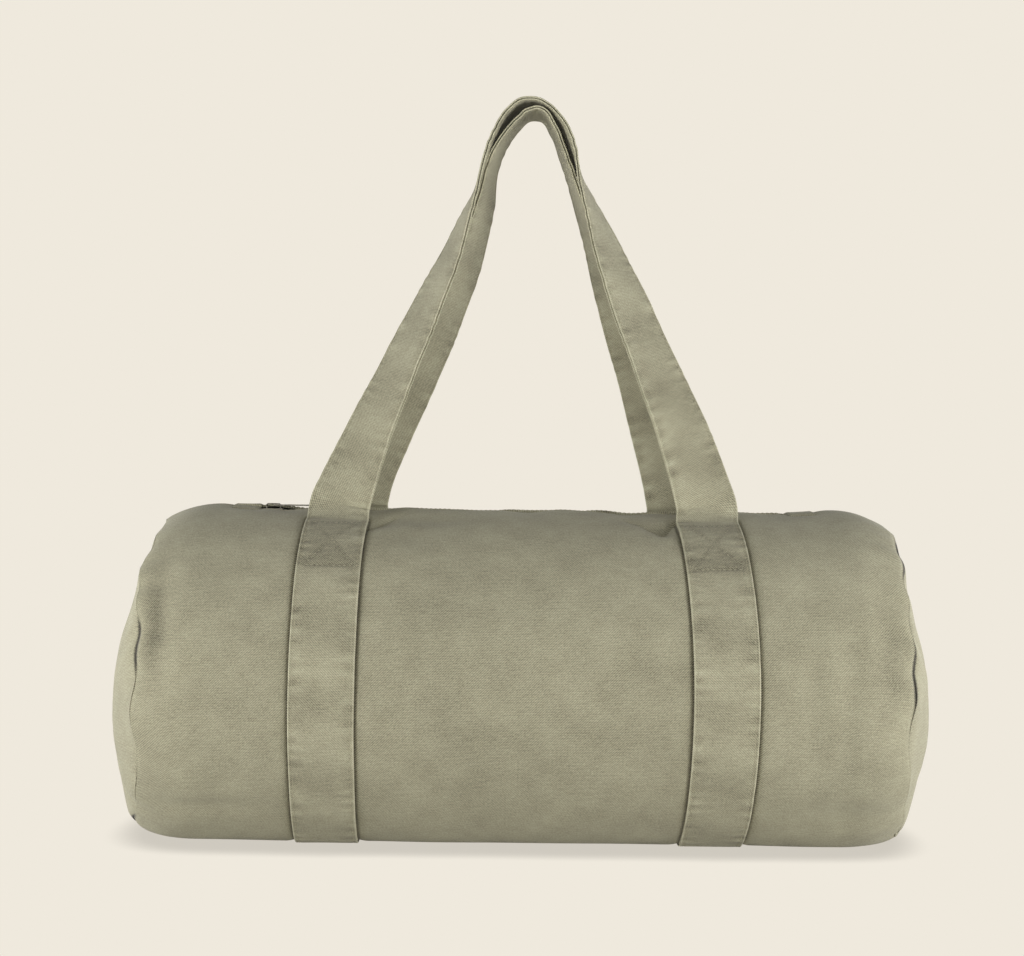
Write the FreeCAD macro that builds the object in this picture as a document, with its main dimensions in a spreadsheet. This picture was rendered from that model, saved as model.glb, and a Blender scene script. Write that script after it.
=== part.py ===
import FreeCAD, Part
import math
import os

import Sketcher
from FreeCAD import Rotation, Vector

# A soft barrel bag of washed cotton twill with two carrying handles and a zip along its top.
# Frame: +X along the barrel, -Y the front, +Z up, origin under the middle of the base on the floor.

# Driving dimensions, in millimetres and degrees. Angles are measured at the barrel axis from the top.
SIZES = (
    ("barrel_radius", 125.0, "barrel axis to the outside of the body cloth"),
    ("cloth_wall", 1.7, "body cloth with its seam turnings"),
    ("base_flat_depth", 109.0, "flat that the filled base presses on the floor, front to rear"),
    ("seam_length", 524.0, "end seam to end seam"),
    ("straight_length", 424.0, "part of the barrel that has the full radius"),
    ("seam_radius", 112.0, "barrel axis to the end seams"),
    ("end_bulge", 30.0, "end panel beyond its seam"),
    ("binding_width", 6.0, "bound seam turnings along the barrel"),
    ("binding_depth", 5.0, "bound seam turnings towards the axis"),
    ("strap_width", 44.0, "folded and stitched twill strap"),
    ("strap_thickness", 2.5, "strap along the body and in the handles"),
    ("strap_top_thickness", 2.0, "strap where it is stitched down on the mouth"),
    ("front_strap_spacing", 270.0, "between the centre lines of the front straps"),
    ("rear_strap_spacing", 244.0, "between the centre lines of the rear straps"),
    ("mouth_length", 400.0, "opening in the body cloth along the barrel"),
    ("mouth_split_angle", 50.0, "top to the edge where the mouth cloth rolls under the body cloth"),
    ("mouth_lap_angle", 5.0, "mouth cloth tucked under the body cloth at that edge"),
    ("mouth_lap_ends", 4.0, "mouth cloth tucked under the body cloth at each end"),
    ("mouth_wall", 2.0, "mouth cloth with its turned hem"),
    ("zip_edge_angle", 2.5, "top to the hemmed edge beside the zip"),
    ("strap_top_angle", 15.0, "top to the end of the stitched strap, where the handle starts"),
    ("handle_rise", 306.0, "handle hinge to the top of the front handle"),
    ("foot_drop", 0.9, "strap below the line that a handle folds on"),
    ("knee_rise", 100.0, "handle hinge to the place where a handle bends as it drapes"),
    ("front_arch_radius", 30.0, "front handle's bend at the top, on its middle line"),
    ("rear_arch_radius", 20.0, "rear handle's bend at the top, inside the front one"),
    ("handle_nesting", 10.0, "top of the rear handle below the top of the front one"),
    ("arch_shift", 7.0, "handle tops to the right of the middle"),
    ("arch_lean", 6.0, "each handle top short of the middle plane"),
    ("tape_seat", 0.05, "zip tape below the mouth cloth that it is sewn to"),
    ("tape_thickness", 1.0, "zip tape"),
    ("tape_width", 14.0, "zip tape from the zip's middle"),
    ("tape_gap", 1.2, "zip's middle to the tape's inner edge"),
    ("coil_thickness", 2.4, "zip coil"),
    ("coil_width", 3.0, "zip coil from the zip's middle"),
    ("coil_gap", 0.15, "zip's middle to the face where the coils meet"),
    ("stop_length", 3.0, "zip stops along the zip"),
    ("stop_thickness", 1.6, "zip stops"),
    ("stop_half_width", 0.9, "bottom stop from the zip's middle"),
    ("slider_length", 14.0, "zip slider"),
    ("slider_width", 10.0, "zip slider"),
    ("slider_plate", 1.4, "each plate of the zip slider"),
    ("slider_web_length", 2.0, "web between the slider's plates"),
    ("slider_web_width", 1.0, "web between the slider's plates"),
    ("slider_play", 0.45, "slider plates clear of the coil and the tape"),
    ("slider_mouth", 9.0, "slider's leading end to the first joined coil"),
    ("crown_length", 8.0, "crown on the slider that holds the pull"),
    ("crown_width", 2.0, "crown across the zip"),
    ("crown_window", 4.0, "opening in the crown along the zip"),
    ("crown_height", 2.4, "opening in the crown above the slider"),
    ("crown_bar", 1.2, "bar over the opening in the crown"),
    ("pull_length", 26.0, "pull from its pivot to its tip"),
    ("pull_width", 7.0, "pull across its flat"),
    ("pull_thickness", 1.4, "pull, and its eye bar"),
    ("pull_eye", 5.4, "pivot to the solid part of the pull"),
    ("pull_arm", 1.8, "each arm beside the pull's eye"),
    ("end_tab_angle", 8.0, "cloth tab over each end of the zip, top to its edge"),
    ("end_tab_lap", 6.0, "cloth tab over the opening"),
    ("end_tab_seat", 14.0, "cloth tab on the body cloth"),
    ("end_tab_thickness", 1.6, "cloth tab"),
    ("soft_clearance", 0.3, "between pieces that move past each other"),
)

doc = FreeCAD.newDocument("barrel_bag")
sheet = doc.addObject("Spreadsheet::Sheet", "sizes")
for row, (alias, number, note) in enumerate(SIZES, start=1):
    sheet.set(f"A{row}", note)
    sheet.set(f"B{row}", str(number))
    sheet.setAlias(f"B{row}", alias)
doc.recompute()

# Expressions that several pieces share
AXIS_HEIGHT = "(sizes.strap_thickness + sqrt(sizes.barrel_radius ^ 2 - (sizes.base_flat_depth / 2) ^ 2))"
BODY_INSIDE = "(sizes.barrel_radius - sizes.cloth_wall)"
STRAP_TOP_OUTSIDE = f"({BODY_INSIDE} - sizes.soft_clearance)"
MOUTH_OUTSIDE = f"({STRAP_TOP_OUTSIDE} - sizes.strap_top_thickness)"
MOUTH_INSIDE = f"({MOUTH_OUTSIDE} - sizes.mouth_wall)"
TAPE_OUTSIDE = f"({MOUTH_INSIDE} - sizes.tape_seat)"
TAPE_INSIDE = f"({TAPE_OUTSIDE} - sizes.tape_thickness)"
COIL_OUTSIDE = f"({MOUTH_INSIDE} + sizes.coil_thickness)"
MOUTH_END = "(sizes.mouth_length / 2)"
TAPE_END = f"({MOUTH_END} + sizes.mouth_lap_ends)"
ZIP_END = f"({MOUTH_END} - sizes.end_tab_lap)"
SLIDER_START = f"(sizes.stop_length - {ZIP_END} + sizes.soft_clearance)"
HINGE_RADIUS = f"({STRAP_TOP_OUTSIDE} + sizes.strap_thickness / 2 + 2 * sizes.soft_clearance)"


def size(expression):
    """The number that an expression over the sheet gives now."""
    answer = sheet.evalExpression(expression)
    return float(getattr(answer, "Value", answer))


def at_radius(width, radius):
    """The angle from the top at which a face is a width away from the middle plane."""
    return f"(asin(({width}) / ({radius})) / 1deg)"


# Sketches and solids about the barrel axis

def new_body(label):
    """An empty body with its label."""
    body = doc.addObject("PartDesign::Body", label)
    body.Label = label
    return body


def new_sketch(body, role, along_normal="0"):
    """A sketch on one of the body's own planes, with its origin on the barrel axis."""
    sketch = body.newObject("Sketcher::SketchObject", body.Name + "_sketch")
    plane = [feature for feature in body.Origin.OriginFeatures if feature.Role == role][0]
    sketch.AttachmentSupport = [(plane, "")]
    sketch.MapMode = "FlatFace"
    sketch.setExpression("AttachmentOffset.Base.y", AXIS_HEIGHT)
    sketch.setExpression("AttachmentOffset.Base.z", along_normal)
    return sketch


def add_size(sketch, expression, *constraint):
    """A dimension of the sketch that follows an expression over the sheet."""
    number = size(expression)
    if constraint[0] == "Angle":
        number = math.radians(number)
    index = sketch.addConstraint(Sketcher.Constraint(*constraint, number))
    sketch.setExpression(f"Constraints[{index}]", expression)


def add_pad(body, sketch, length):
    """The sketch padded along its normal."""
    pad = body.newObject("PartDesign::Pad", body.Name + "_pad")
    pad.Profile = sketch
    pad.setExpression("Length", length)
    return pad


def on_circle(radius, angle):
    """A point of a sketch by its radius and its angle in degrees."""
    return Vector(radius * math.cos(math.radians(angle)), radius * math.sin(math.radians(angle)), 0)


def sector(label, inner, outer, start, end, x_start, x_end):
    """A piece of a tube about the barrel axis. Angles run from the top, positive to the front."""
    body = new_body(label)
    sketch = new_sketch(body, "YZ_Plane", x_start)
    angles = (f"90 + ({start})", f"90 + ({end})")
    centre_axis = (Vector(0, 0, 0), Vector(0, 0, 1))
    limits = [math.radians(size(angle)) for angle in angles]
    for radius in (inner, outer):
        sketch.addGeometry(Part.ArcOfCircle(Part.Circle(*centre_axis, size(radius)), *limits))
    for angle in angles:
        ends = [on_circle(size(radius), size(angle)) for radius in (inner, outer)]
        sketch.addGeometry(Part.LineSegment(*ends))
    for arc in (0, 1):
        sketch.addConstraint(Sketcher.Constraint("Coincident", arc, 3, -1, 1))
    for line, arc_point in ((2, 1), (3, 2)):
        sketch.addConstraint(Sketcher.Constraint("Coincident", 0, arc_point, line, 1))
        sketch.addConstraint(Sketcher.Constraint("Coincident", 1, arc_point, line, 2))
        sketch.addConstraint(Sketcher.Constraint("PointOnObject", -1, 1, line))
    add_size(sketch, inner, "Radius", 0)
    add_size(sketch, outer, "Radius", 1)
    add_size(sketch, angles[0], "Angle", 2)
    add_size(sketch, angles[1], "Angle", 3)
    add_pad(body, sketch, f"({x_end}) - ({x_start})")
    return body


def front_or_rear(rear, start, end):
    """The two angles of a sector on the front, or mirrored to the rear."""
    if rear:
        return f"0 - ({end})", f"0 - ({start})"
    return start, end


def turned_to_other_end(piece):
    """The piece turned half round the upright axis, for the other end or the rear."""
    piece.Placement = FreeCAD.Placement(Vector(0, 0, 0), Rotation(Vector(0, 0, 1), 180))
    return piece


def above_base(label, piece, base_height):
    """The piece cut flat where the filled bag presses on the floor."""
    reach = "(sizes.seam_length + 4 * sizes.barrel_radius)"
    room = doc.addObject("Part::Box", label + "_room")
    for edge in ("Length", "Width", "Height"):
        room.setExpression(edge, reach)
    room.setExpression("Placement.Base.x", f"0 - {reach} / 2")
    room.setExpression("Placement.Base.y", f"0 - {reach} / 2")
    room.setExpression("Placement.Base.z", base_height)
    cut = doc.addObject("Part::Common", label)
    cut.Label = label
    cut.Base = piece
    cut.Tool = room
    return cut


nodes = []


# Body panel: one cloth tube with rounded shoulders, open along the top where the mouth is

def bolster(label, radius, seam_radius):
    """A full barrel: straight in the middle, its shoulders curving to the end seams."""
    body = new_body(label)
    sketch = new_sketch(body, "XZ_Plane")
    half_length = size("sizes.seam_length / 2")
    half_straight = size("sizes.straight_length / 2")
    full, drawn_in = size(radius), size(seam_radius)
    run = half_length - half_straight
    drop = full - drawn_in
    shoulder = (run ** 2 + drop ** 2) / (2 * drop)
    middle = math.asin(run / shoulder) / 2
    foot_left, foot_right = Vector(-half_length, 0, 0), Vector(half_length, 0, 0)
    seam_left, seam_right = Vector(-half_length, drawn_in, 0), Vector(half_length, drawn_in, 0)
    top_left, top_right = Vector(-half_straight, full, 0), Vector(half_straight, full, 0)
    bend = Vector(shoulder * math.sin(middle), -shoulder * (1 - math.cos(middle)), 0)
    bend_left = Vector(-half_straight - bend.x, full + bend.y, 0)
    bend_right = Vector(half_straight + bend.x, full + bend.y, 0)
    sketch.addGeometry(Part.LineSegment(foot_left, seam_left))
    sketch.addGeometry(Part.Arc(seam_left, bend_left, top_left))
    sketch.addGeometry(Part.LineSegment(top_left, top_right))
    sketch.addGeometry(Part.Arc(top_right, bend_right, seam_right))
    sketch.addGeometry(Part.LineSegment(seam_right, foot_right))
    sketch.addGeometry(Part.LineSegment(foot_right, foot_left))
    # An arc runs counter-clockwise, so its first point is on the right where the shoulder draws in
    at_right, at_left = (1, 2) if drop > 0 else (2, 1)
    sketch.addConstraint(Sketcher.Constraint("Coincident", 0, 2, 1, at_left))
    sketch.addConstraint(Sketcher.Constraint("Tangent", 1, at_right, 2, 1))
    sketch.addConstraint(Sketcher.Constraint("Tangent", 2, 2, 3, at_left))
    sketch.addConstraint(Sketcher.Constraint("Coincident", 3, at_right, 4, 1))
    sketch.addConstraint(Sketcher.Constraint("Coincident", 4, 2, 5, 1))
    sketch.addConstraint(Sketcher.Constraint("Coincident", 5, 2, 0, 1))
    for upright in (0, 4):
        sketch.addConstraint(Sketcher.Constraint("Vertical", upright))
    sketch.addConstraint(Sketcher.Constraint("PointOnObject", 5, 1, -1))
    sketch.addConstraint(Sketcher.Constraint("Symmetric", 5, 1, 5, 2, -1, 1))
    sketch.addConstraint(Sketcher.Constraint("Symmetric", 2, 1, 2, 2, -2))
    sketch.addConstraint(Sketcher.Constraint("Equal", 0, 4))
    add_size(sketch, "sizes.seam_length", "DistanceX", 5, 2, 5, 1)
    add_size(sketch, "sizes.straight_length", "DistanceX", 2, 1, 2, 2)
    add_size(sketch, radius, "DistanceY", -1, 1, 2, 1)
    add_size(sketch, seam_radius, "DistanceY", 0, 1, 0, 2)
    turn = body.newObject("PartDesign::Revolution", label + "_turn")
    turn.Profile = sketch
    turn.ReferenceAxis = (sketch, ["H_Axis"])
    turn.Angle = 360
    return body


INNER_BASE = "(sizes.strap_thickness + sizes.cloth_wall)"
barrel_outside = bolster("barrel_outside", "sizes.barrel_radius", "sizes.seam_radius")
barrel_inside = bolster("barrel_inside", BODY_INSIDE, "(sizes.seam_radius - sizes.cloth_wall)")
barrel_shell = doc.addObject("Part::Cut", "barrel_shell")
barrel_shell.Base = above_base("barrel_outside_flat", barrel_outside, "sizes.strap_thickness")
barrel_shell.Tool = above_base("barrel_inside_flat", barrel_inside, INNER_BASE)
mouth_opening = sector(
    "mouth_opening",
    f"{BODY_INSIDE} - 4 * sizes.cloth_wall",
    "sizes.barrel_radius + 4 * sizes.cloth_wall",
    "0 - sizes.mouth_split_angle",
    "sizes.mouth_split_angle",
    f"0 - {MOUTH_END}",
    MOUTH_END,
)
body_panel = doc.addObject("Part::Cut", "body_panel")
body_panel.Label = "body_panel"
body_panel.Base = barrel_shell
body_panel.Tool = mouth_opening
nodes.append(body_panel)


# End panels: round pieces that the stuffing bows outwards, sewn to the barrel's ends

def end_panel(label):
    """A bowed disc of cloth whose rim lies on the barrel's right end."""
    body = new_body(label)
    sketch = new_sketch(body, "XZ_Plane")
    seam_x = size("sizes.seam_length / 2")
    rim = size("sizes.seam_radius")
    bulge = size("sizes.end_bulge")
    outer = (rim ** 2 + bulge ** 2) / (2 * bulge)
    inner = outer - size("sizes.cloth_wall")
    centre = Vector(seam_x + bulge - outer, 0, 0)
    outer_limit = math.asin(rim / outer)
    inner_limit = math.acos((seam_x - centre.x) / inner)
    normal = Vector(0, 0, 1)
    sketch.addGeometry(Part.ArcOfCircle(Part.Circle(centre, normal, outer), 0, outer_limit))
    sketch.addGeometry(Part.ArcOfCircle(Part.Circle(centre, normal, inner), 0, inner_limit))
    sketch.addGeometry(Part.LineSegment(centre + Vector(inner, 0, 0), centre + Vector(outer, 0, 0)))
    inner_rim = Vector(seam_x, inner * math.sin(inner_limit), 0)
    sketch.addGeometry(Part.LineSegment(inner_rim, Vector(seam_x, rim, 0)))
    sketch.addConstraint(Sketcher.Constraint("Coincident", 1, 1, 2, 1))
    sketch.addConstraint(Sketcher.Constraint("Coincident", 0, 1, 2, 2))
    sketch.addConstraint(Sketcher.Constraint("Coincident", 1, 2, 3, 1))
    sketch.addConstraint(Sketcher.Constraint("Coincident", 0, 2, 3, 2))
    sketch.addConstraint(Sketcher.Constraint("Coincident", 0, 3, 1, 3))
    sketch.addConstraint(Sketcher.Constraint("PointOnObject", 0, 3, -1))
    sketch.addConstraint(Sketcher.Constraint("Horizontal", 2))
    sketch.addConstraint(Sketcher.Constraint("PointOnObject", 2, 1, -1))
    sketch.addConstraint(Sketcher.Constraint("Vertical", 3))
    add_size(sketch, "sizes.seam_length / 2", "DistanceX", -1, 1, 3, 2)
    add_size(sketch, "sizes.seam_radius", "DistanceY", -1, 1, 3, 2)
    add_size(sketch, "sizes.seam_length / 2 + sizes.end_bulge", "DistanceX", -1, 1, 2, 2)
    add_size(sketch, "sizes.cloth_wall", "DistanceX", 2, 1, 2, 2)
    turn = body.newObject("PartDesign::Revolution", label + "_turn")
    turn.Profile = sketch
    turn.ReferenceAxis = (sketch, ["H_Axis"])
    turn.Angle = 360
    return body


def seam_binding(label):
    """The bound seam turnings, a ring inside the right end that lies on the end panel's rim."""
    outside = "(sizes.seam_radius - sizes.cloth_wall - sizes.soft_clearance)"
    ring = doc.addObject("Part::Cut", label)
    radii = (outside, f"({outside} - sizes.binding_depth)")
    discs = []
    for radius in radii:
        disc = doc.addObject("Part::Cylinder", label + "_disc")
        disc.setExpression("Radius", radius)
        disc.setExpression("Height", "sizes.binding_width")
        disc.Placement.Rotation = Rotation(Vector(0, 1, 0), 90)
        disc.setExpression("Placement.Base.x", "sizes.seam_length / 2 - sizes.binding_width")
        disc.setExpression("Placement.Base.z", AXIS_HEIGHT)
        discs.append(disc)
    ring.Base, ring.Tool = discs
    return ring


for end, turned in (("right", False), ("left", True)):
    panel = end_panel(f"end_panel_{end}_round")
    ring = seam_binding(f"seam_binding_{end}_round")
    if turned:
        turned_to_other_end(panel)
        turned_to_other_end(ring)
    nodes.append(above_base(f"end_panel_{end}", panel, "sizes.strap_thickness"))
    nodes.append(above_base(f"seam_binding_{end}", ring, INNER_BASE))


# Straps: on each side of the middle one runs down the front and one down the rear, and they meet
# under the base, so that the straps carry the load and the bag stands on them

def strap_run(label, x_centre):
    """A front strap from the mouth's edge down the barrel and under the base to the middle."""
    body = new_body(label)
    sketch = new_sketch(body, "YZ_Plane", f"{x_centre} - sizes.strap_width / 2")
    inner = size("sizes.barrel_radius")
    thickness = size("sizes.strap_thickness")
    outer = inner + thickness
    floor = -size(AXIS_HEIGHT)
    top_angle = "90 + sizes.mouth_split_angle"
    inner_foot = 180 + math.degrees(math.asin(-(floor + thickness) / inner))
    outer_foot = 180 + math.degrees(math.asin(-floor / outer))
    limits = [(size(top_angle), foot) for foot in (inner_foot, outer_foot)]
    for radius, (start, end) in zip((inner, outer), limits):
        circle = Part.Circle(Vector(0, 0, 0), Vector(0, 0, 1), radius)
        sketch.addGeometry(Part.ArcOfCircle(circle, math.radians(start), math.radians(end)))
    top_ends = [on_circle(radius, size(top_angle)) for radius in (inner, outer)]
    sketch.addGeometry(Part.LineSegment(*top_ends))
    middle_inner, middle_outer = Vector(0, floor + thickness, 0), Vector(0, floor, 0)
    sketch.addGeometry(Part.LineSegment(on_circle(inner, inner_foot), middle_inner))
    sketch.addGeometry(Part.LineSegment(on_circle(outer, outer_foot), middle_outer))
    sketch.addGeometry(Part.LineSegment(middle_inner, middle_outer))
    for arc in (0, 1):
        sketch.addConstraint(Sketcher.Constraint("Coincident", arc, 3, -1, 1))
        sketch.addConstraint(Sketcher.Constraint("Coincident", arc, 1, 2, arc + 1))
        sketch.addConstraint(Sketcher.Constraint("Coincident", arc, 2, arc + 3, 1))
        sketch.addConstraint(Sketcher.Constraint("Coincident", arc + 3, 2, 5, arc + 1))
        sketch.addConstraint(Sketcher.Constraint("Horizontal", arc + 3))
    sketch.addConstraint(Sketcher.Constraint("PointOnObject", -1, 1, 2))
    sketch.addConstraint(Sketcher.Constraint("PointOnObject", 5, 1, -2))
    sketch.addConstraint(Sketcher.Constraint("PointOnObject", 5, 2, -2))
    add_size(sketch, "sizes.barrel_radius", "Radius", 0)
    add_size(sketch, "sizes.barrel_radius + sizes.strap_thickness", "Radius", 1)
    add_size(sketch, top_angle, "Angle", 2)
    add_size(sketch, AXIS_HEIGHT, "DistanceY", 5, 2, -1, 1)
    add_size(sketch, "sizes.strap_thickness", "DistanceY", 5, 2, 5, 1)
    add_pad(body, sketch, "sizes.strap_width")
    return body


for end, sign in (("left", "0 - "), ("right", "")):
    nodes.append(strap_run(f"strap_run_front_{end}", f"{sign}sizes.front_strap_spacing / 2"))
for end, sign in (("left", ""), ("right", "0 - ")):
    rear_run = strap_run(f"strap_run_rear_{end}", f"{sign}sizes.rear_strap_spacing / 2")
    nodes.append(turned_to_other_end(rear_run))


# Mouth: on the front and on the rear a cloth with its zip half and the stitched strap ends. Each rolls
# about the barrel axis and tucks under the body cloth, as the soft edge does when the bag is opened

MOUTH_LAP = "sizes.mouth_split_angle + sizes.mouth_lap_angle"
mouth_span = (f"0 - {TAPE_END}", TAPE_END)
coil_span = (f"({SLIDER_START} + sizes.slider_mouth)", f"({ZIP_END} - sizes.stop_length)")
stop_span = (f"0 - {ZIP_END}", f"(sizes.stop_length - {ZIP_END})")
stop_outside = f"({MOUTH_INSIDE} + sizes.stop_thickness)"
for side, rear in (("front", False), ("rear", True)):
    hem = front_or_rear(rear, "sizes.zip_edge_angle", MOUTH_LAP)
    nodes.append(sector(f"mouth_panel_{side}", MOUTH_INSIDE, MOUTH_OUTSIDE, *hem, *mouth_span))

    tape_edges = [at_radius(width, MOUTH_INSIDE) for width in ("sizes.tape_gap", "sizes.tape_width")]
    tape = front_or_rear(rear, *tape_edges)
    nodes.append(sector(f"zip_tape_{side}", TAPE_INSIDE, TAPE_OUTSIDE, *tape, *mouth_span))

    coil_edges = [at_radius(width, COIL_OUTSIDE) for width in ("sizes.coil_gap", "sizes.coil_width")]
    coil = front_or_rear(rear, *coil_edges)
    nodes.append(sector(f"zip_coil_{side}", MOUTH_INSIDE, COIL_OUTSIDE, *coil, *coil_span))

    stop_edges = [at_radius(width, MOUTH_INSIDE) for width in ("sizes.tape_gap", "sizes.coil_width")]
    stop = front_or_rear(rear, *stop_edges)
    nodes.append(sector(f"zip_top_stop_{side}", MOUTH_INSIDE, stop_outside, *stop, *stop_span))

    strap_angles = front_or_rear(rear, "sizes.strap_top_angle", MOUTH_LAP)
    for end, sign in (("left", "0 - "), ("right", "")):
        centre = f"({sign}sizes.{side}_strap_spacing / 2)"
        strap_edges = [f"({centre} {step} sizes.strap_width / 2)" for step in ("-", "+")]
        label = f"strap_top_{side}_{end}"
        nodes.append(sector(label, MOUTH_OUTSIDE, STRAP_TOP_OUTSIDE, *strap_angles, *strap_edges))


# Zip ends: a cloth tab over each end of the zip, and the stop under the right one that ends the opening

TAB_START = ZIP_END
TAB_END = f"({MOUTH_END} + sizes.end_tab_seat)"
TAB_OUTSIDE = "(sizes.barrel_radius + sizes.end_tab_thickness)"
for end, turned in (("right", False), ("left", True)):
    tab_angles = ("0 - sizes.end_tab_angle", "sizes.end_tab_angle")
    tab = sector(f"zip_end_tab_{end}", "sizes.barrel_radius", TAB_OUTSIDE, *tab_angles, TAB_START, TAB_END)
    if turned:
        turned_to_other_end(tab)
    nodes.append(tab)
stop_angle = at_radius("sizes.stop_half_width", "sizes.barrel_radius")
nodes.append(
    sector(
        "zip_bottom_stop",
        MOUTH_INSIDE,
        "sizes.barrel_radius",
        f"0 - {stop_angle}",
        stop_angle,
        ZIP_END,
        f"{ZIP_END} + sizes.stop_length",
    )
)


# Zip slider: two plates with a web between them, and a crown on top. Pull: a tab on an eye bar

def box(label, corner, edges):
    """A block by its least corner and its three edges, all expressions."""
    block = doc.addObject("Part::Box", label)
    for axis, place in zip("xyz", corner):
        block.setExpression(f"Placement.Base.{axis}", place)
    for edge, length in zip(("Length", "Width", "Height"), edges):
        block.setExpression(edge, length)
    return block


def joined(label, pieces):
    """Blocks made one piece."""
    whole = doc.addObject("Part::MultiFuse", label)
    whole.Label = label
    whole.Shapes = pieces
    whole.Refine = True
    return whole


PLATE_SAG = f"({TAPE_INSIDE} - sqrt({TAPE_INSIDE} ^ 2 - (sizes.slider_width / 2) ^ 2))"
LOWER_TOP = f"({AXIS_HEIGHT} + {TAPE_INSIDE} - {PLATE_SAG} - sizes.slider_play)"
UPPER_BASE = f"({AXIS_HEIGHT} + {COIL_OUTSIDE} + sizes.slider_play)"
UPPER_TOP = f"({UPPER_BASE} + sizes.slider_plate)"
CROWN_MIDDLE = f"({SLIDER_START} + sizes.slider_length / 2)"
PIVOT_HEIGHT = f"({UPPER_TOP} + sizes.crown_height / 2)"
half_width = "0 - sizes.slider_width / 2"
plate_edges = ("sizes.slider_length", "sizes.slider_width", "sizes.slider_plate")
lower_corner = (SLIDER_START, half_width, f"{LOWER_TOP} - sizes.slider_plate")
lower_plate = box("slider_lower_plate", lower_corner, plate_edges)
upper_plate = box("slider_upper_plate", (SLIDER_START, half_width, UPPER_BASE), plate_edges)
web_corner = (f"{SLIDER_START} + sizes.slider_plate", "0 - sizes.slider_web_width / 2", LOWER_TOP)
web_edges = ("sizes.slider_web_length", "sizes.slider_web_width", f"{UPPER_BASE} - {LOWER_TOP}")
web = box("slider_web", web_corner, web_edges)
crown_side = "((sizes.crown_length - sizes.crown_window) / 2)"
crown_front = "0 - sizes.crown_width / 2"
crown_post_edges = (crown_side, "sizes.crown_width", "sizes.crown_height")
crown_start = f"{CROWN_MIDDLE} - sizes.crown_length / 2"
post_left = box("crown_post_left", (crown_start, crown_front, UPPER_TOP), crown_post_edges)
post_right_corner = (f"{CROWN_MIDDLE} + sizes.crown_window / 2", crown_front, UPPER_TOP)
post_right = box("crown_post_right", post_right_corner, crown_post_edges)
bar_corner = (crown_start, crown_front, f"{UPPER_TOP} + sizes.crown_height")
crown_bar = box("crown_top_bar", bar_corner, ("sizes.crown_length", "sizes.crown_width", "sizes.crown_bar"))
nodes.append(joined("zip_slider", [lower_plate, upper_plate, web, post_left, post_right, crown_bar]))

eye_bar = doc.addObject("Part::Cylinder", "pull_eye_bar")
eye_bar.setExpression("Radius", "sizes.pull_thickness / 2")
eye_bar.setExpression("Height", "sizes.pull_width")
eye_bar.Placement.Rotation = Rotation(Vector(1, 0, 0), -90)
eye_bar.setExpression("Placement.Base.x", CROWN_MIDDLE)
eye_bar.setExpression("Placement.Base.y", "0 - sizes.pull_width / 2")
eye_bar.setExpression("Placement.Base.z", PIVOT_HEIGHT)
pull_base = f"{PIVOT_HEIGHT} - sizes.pull_thickness / 2"
pull_edge = "0 - sizes.pull_width / 2"
arm_edges = ("sizes.pull_eye", "sizes.pull_arm", "sizes.pull_thickness")
arm_front = box("pull_arm_front", (CROWN_MIDDLE, pull_edge, pull_base), arm_edges)
arm_rear_corner = (CROWN_MIDDLE, "sizes.pull_width / 2 - sizes.pull_arm", pull_base)
arm_rear = box("pull_arm_rear", arm_rear_corner, arm_edges)
tab_edges = ("sizes.pull_length - sizes.pull_eye", "sizes.pull_width", "sizes.pull_thickness")
pull_tab = box("pull_tab", (f"{CROWN_MIDDLE} + sizes.pull_eye", pull_edge, pull_base), tab_edges)
nodes.append(joined("zip_pull", [eye_bar, arm_front, arm_rear, pull_tab]))


# Handles: each is one strap that rises flat from the two stitched ends, turns on edge as it rises and
# bends over at the top. It is cut level where it bends as it drapes, into two legs and a loop

STRAIGHT_STEPS = 12
FLAT_STEPS = 1
ARCH_STEPS = 6
hinge_angle = math.radians(size("sizes.strap_top_angle"))
hinge_height = size(AXIS_HEIGHT) + size(HINGE_RADIUS) * math.cos(hinge_angle)
hinge_depth = size(HINGE_RADIUS) * math.sin(hinge_angle)


def strap_section(centre, along, turn, face, lean):
    """The strap's outline, square to its run and turned about it by an angle in degrees."""
    half_width = size("sizes.strap_width / 2")
    half_thickness = size("sizes.strap_thickness / 2")
    towards_inside = Vector(along.z, 0, -along.x)
    towards_face = Vector(0, face, 0)
    wide = towards_inside * math.cos(math.radians(turn)) + towards_face * math.sin(math.radians(turn))
    thick = along.cross(wide)
    corners = []
    for across, through in ((-1, -1), (1, -1), (1, 1), (-1, 1)):
        corner = centre + wide * (half_width * across) + thick * (half_thickness * through)
        corners.append(corner + towards_face * lean(corner.z))
    return Part.makePolygon(corners + corners[:1])


def leg_stations(foot, top):
    """Places up one leg, each with its direction and its turn, from just below the foot."""
    along = (top - foot).normalize()
    for step in range(-FLAT_STEPS, STRAIGHT_STEPS):
        turned = max(step - FLAT_STEPS, 0) / (STRAIGHT_STEPS - FLAT_STEPS)
        yield foot + (top - foot) * (step / STRAIGHT_STEPS), along, 90 * turned


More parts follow.
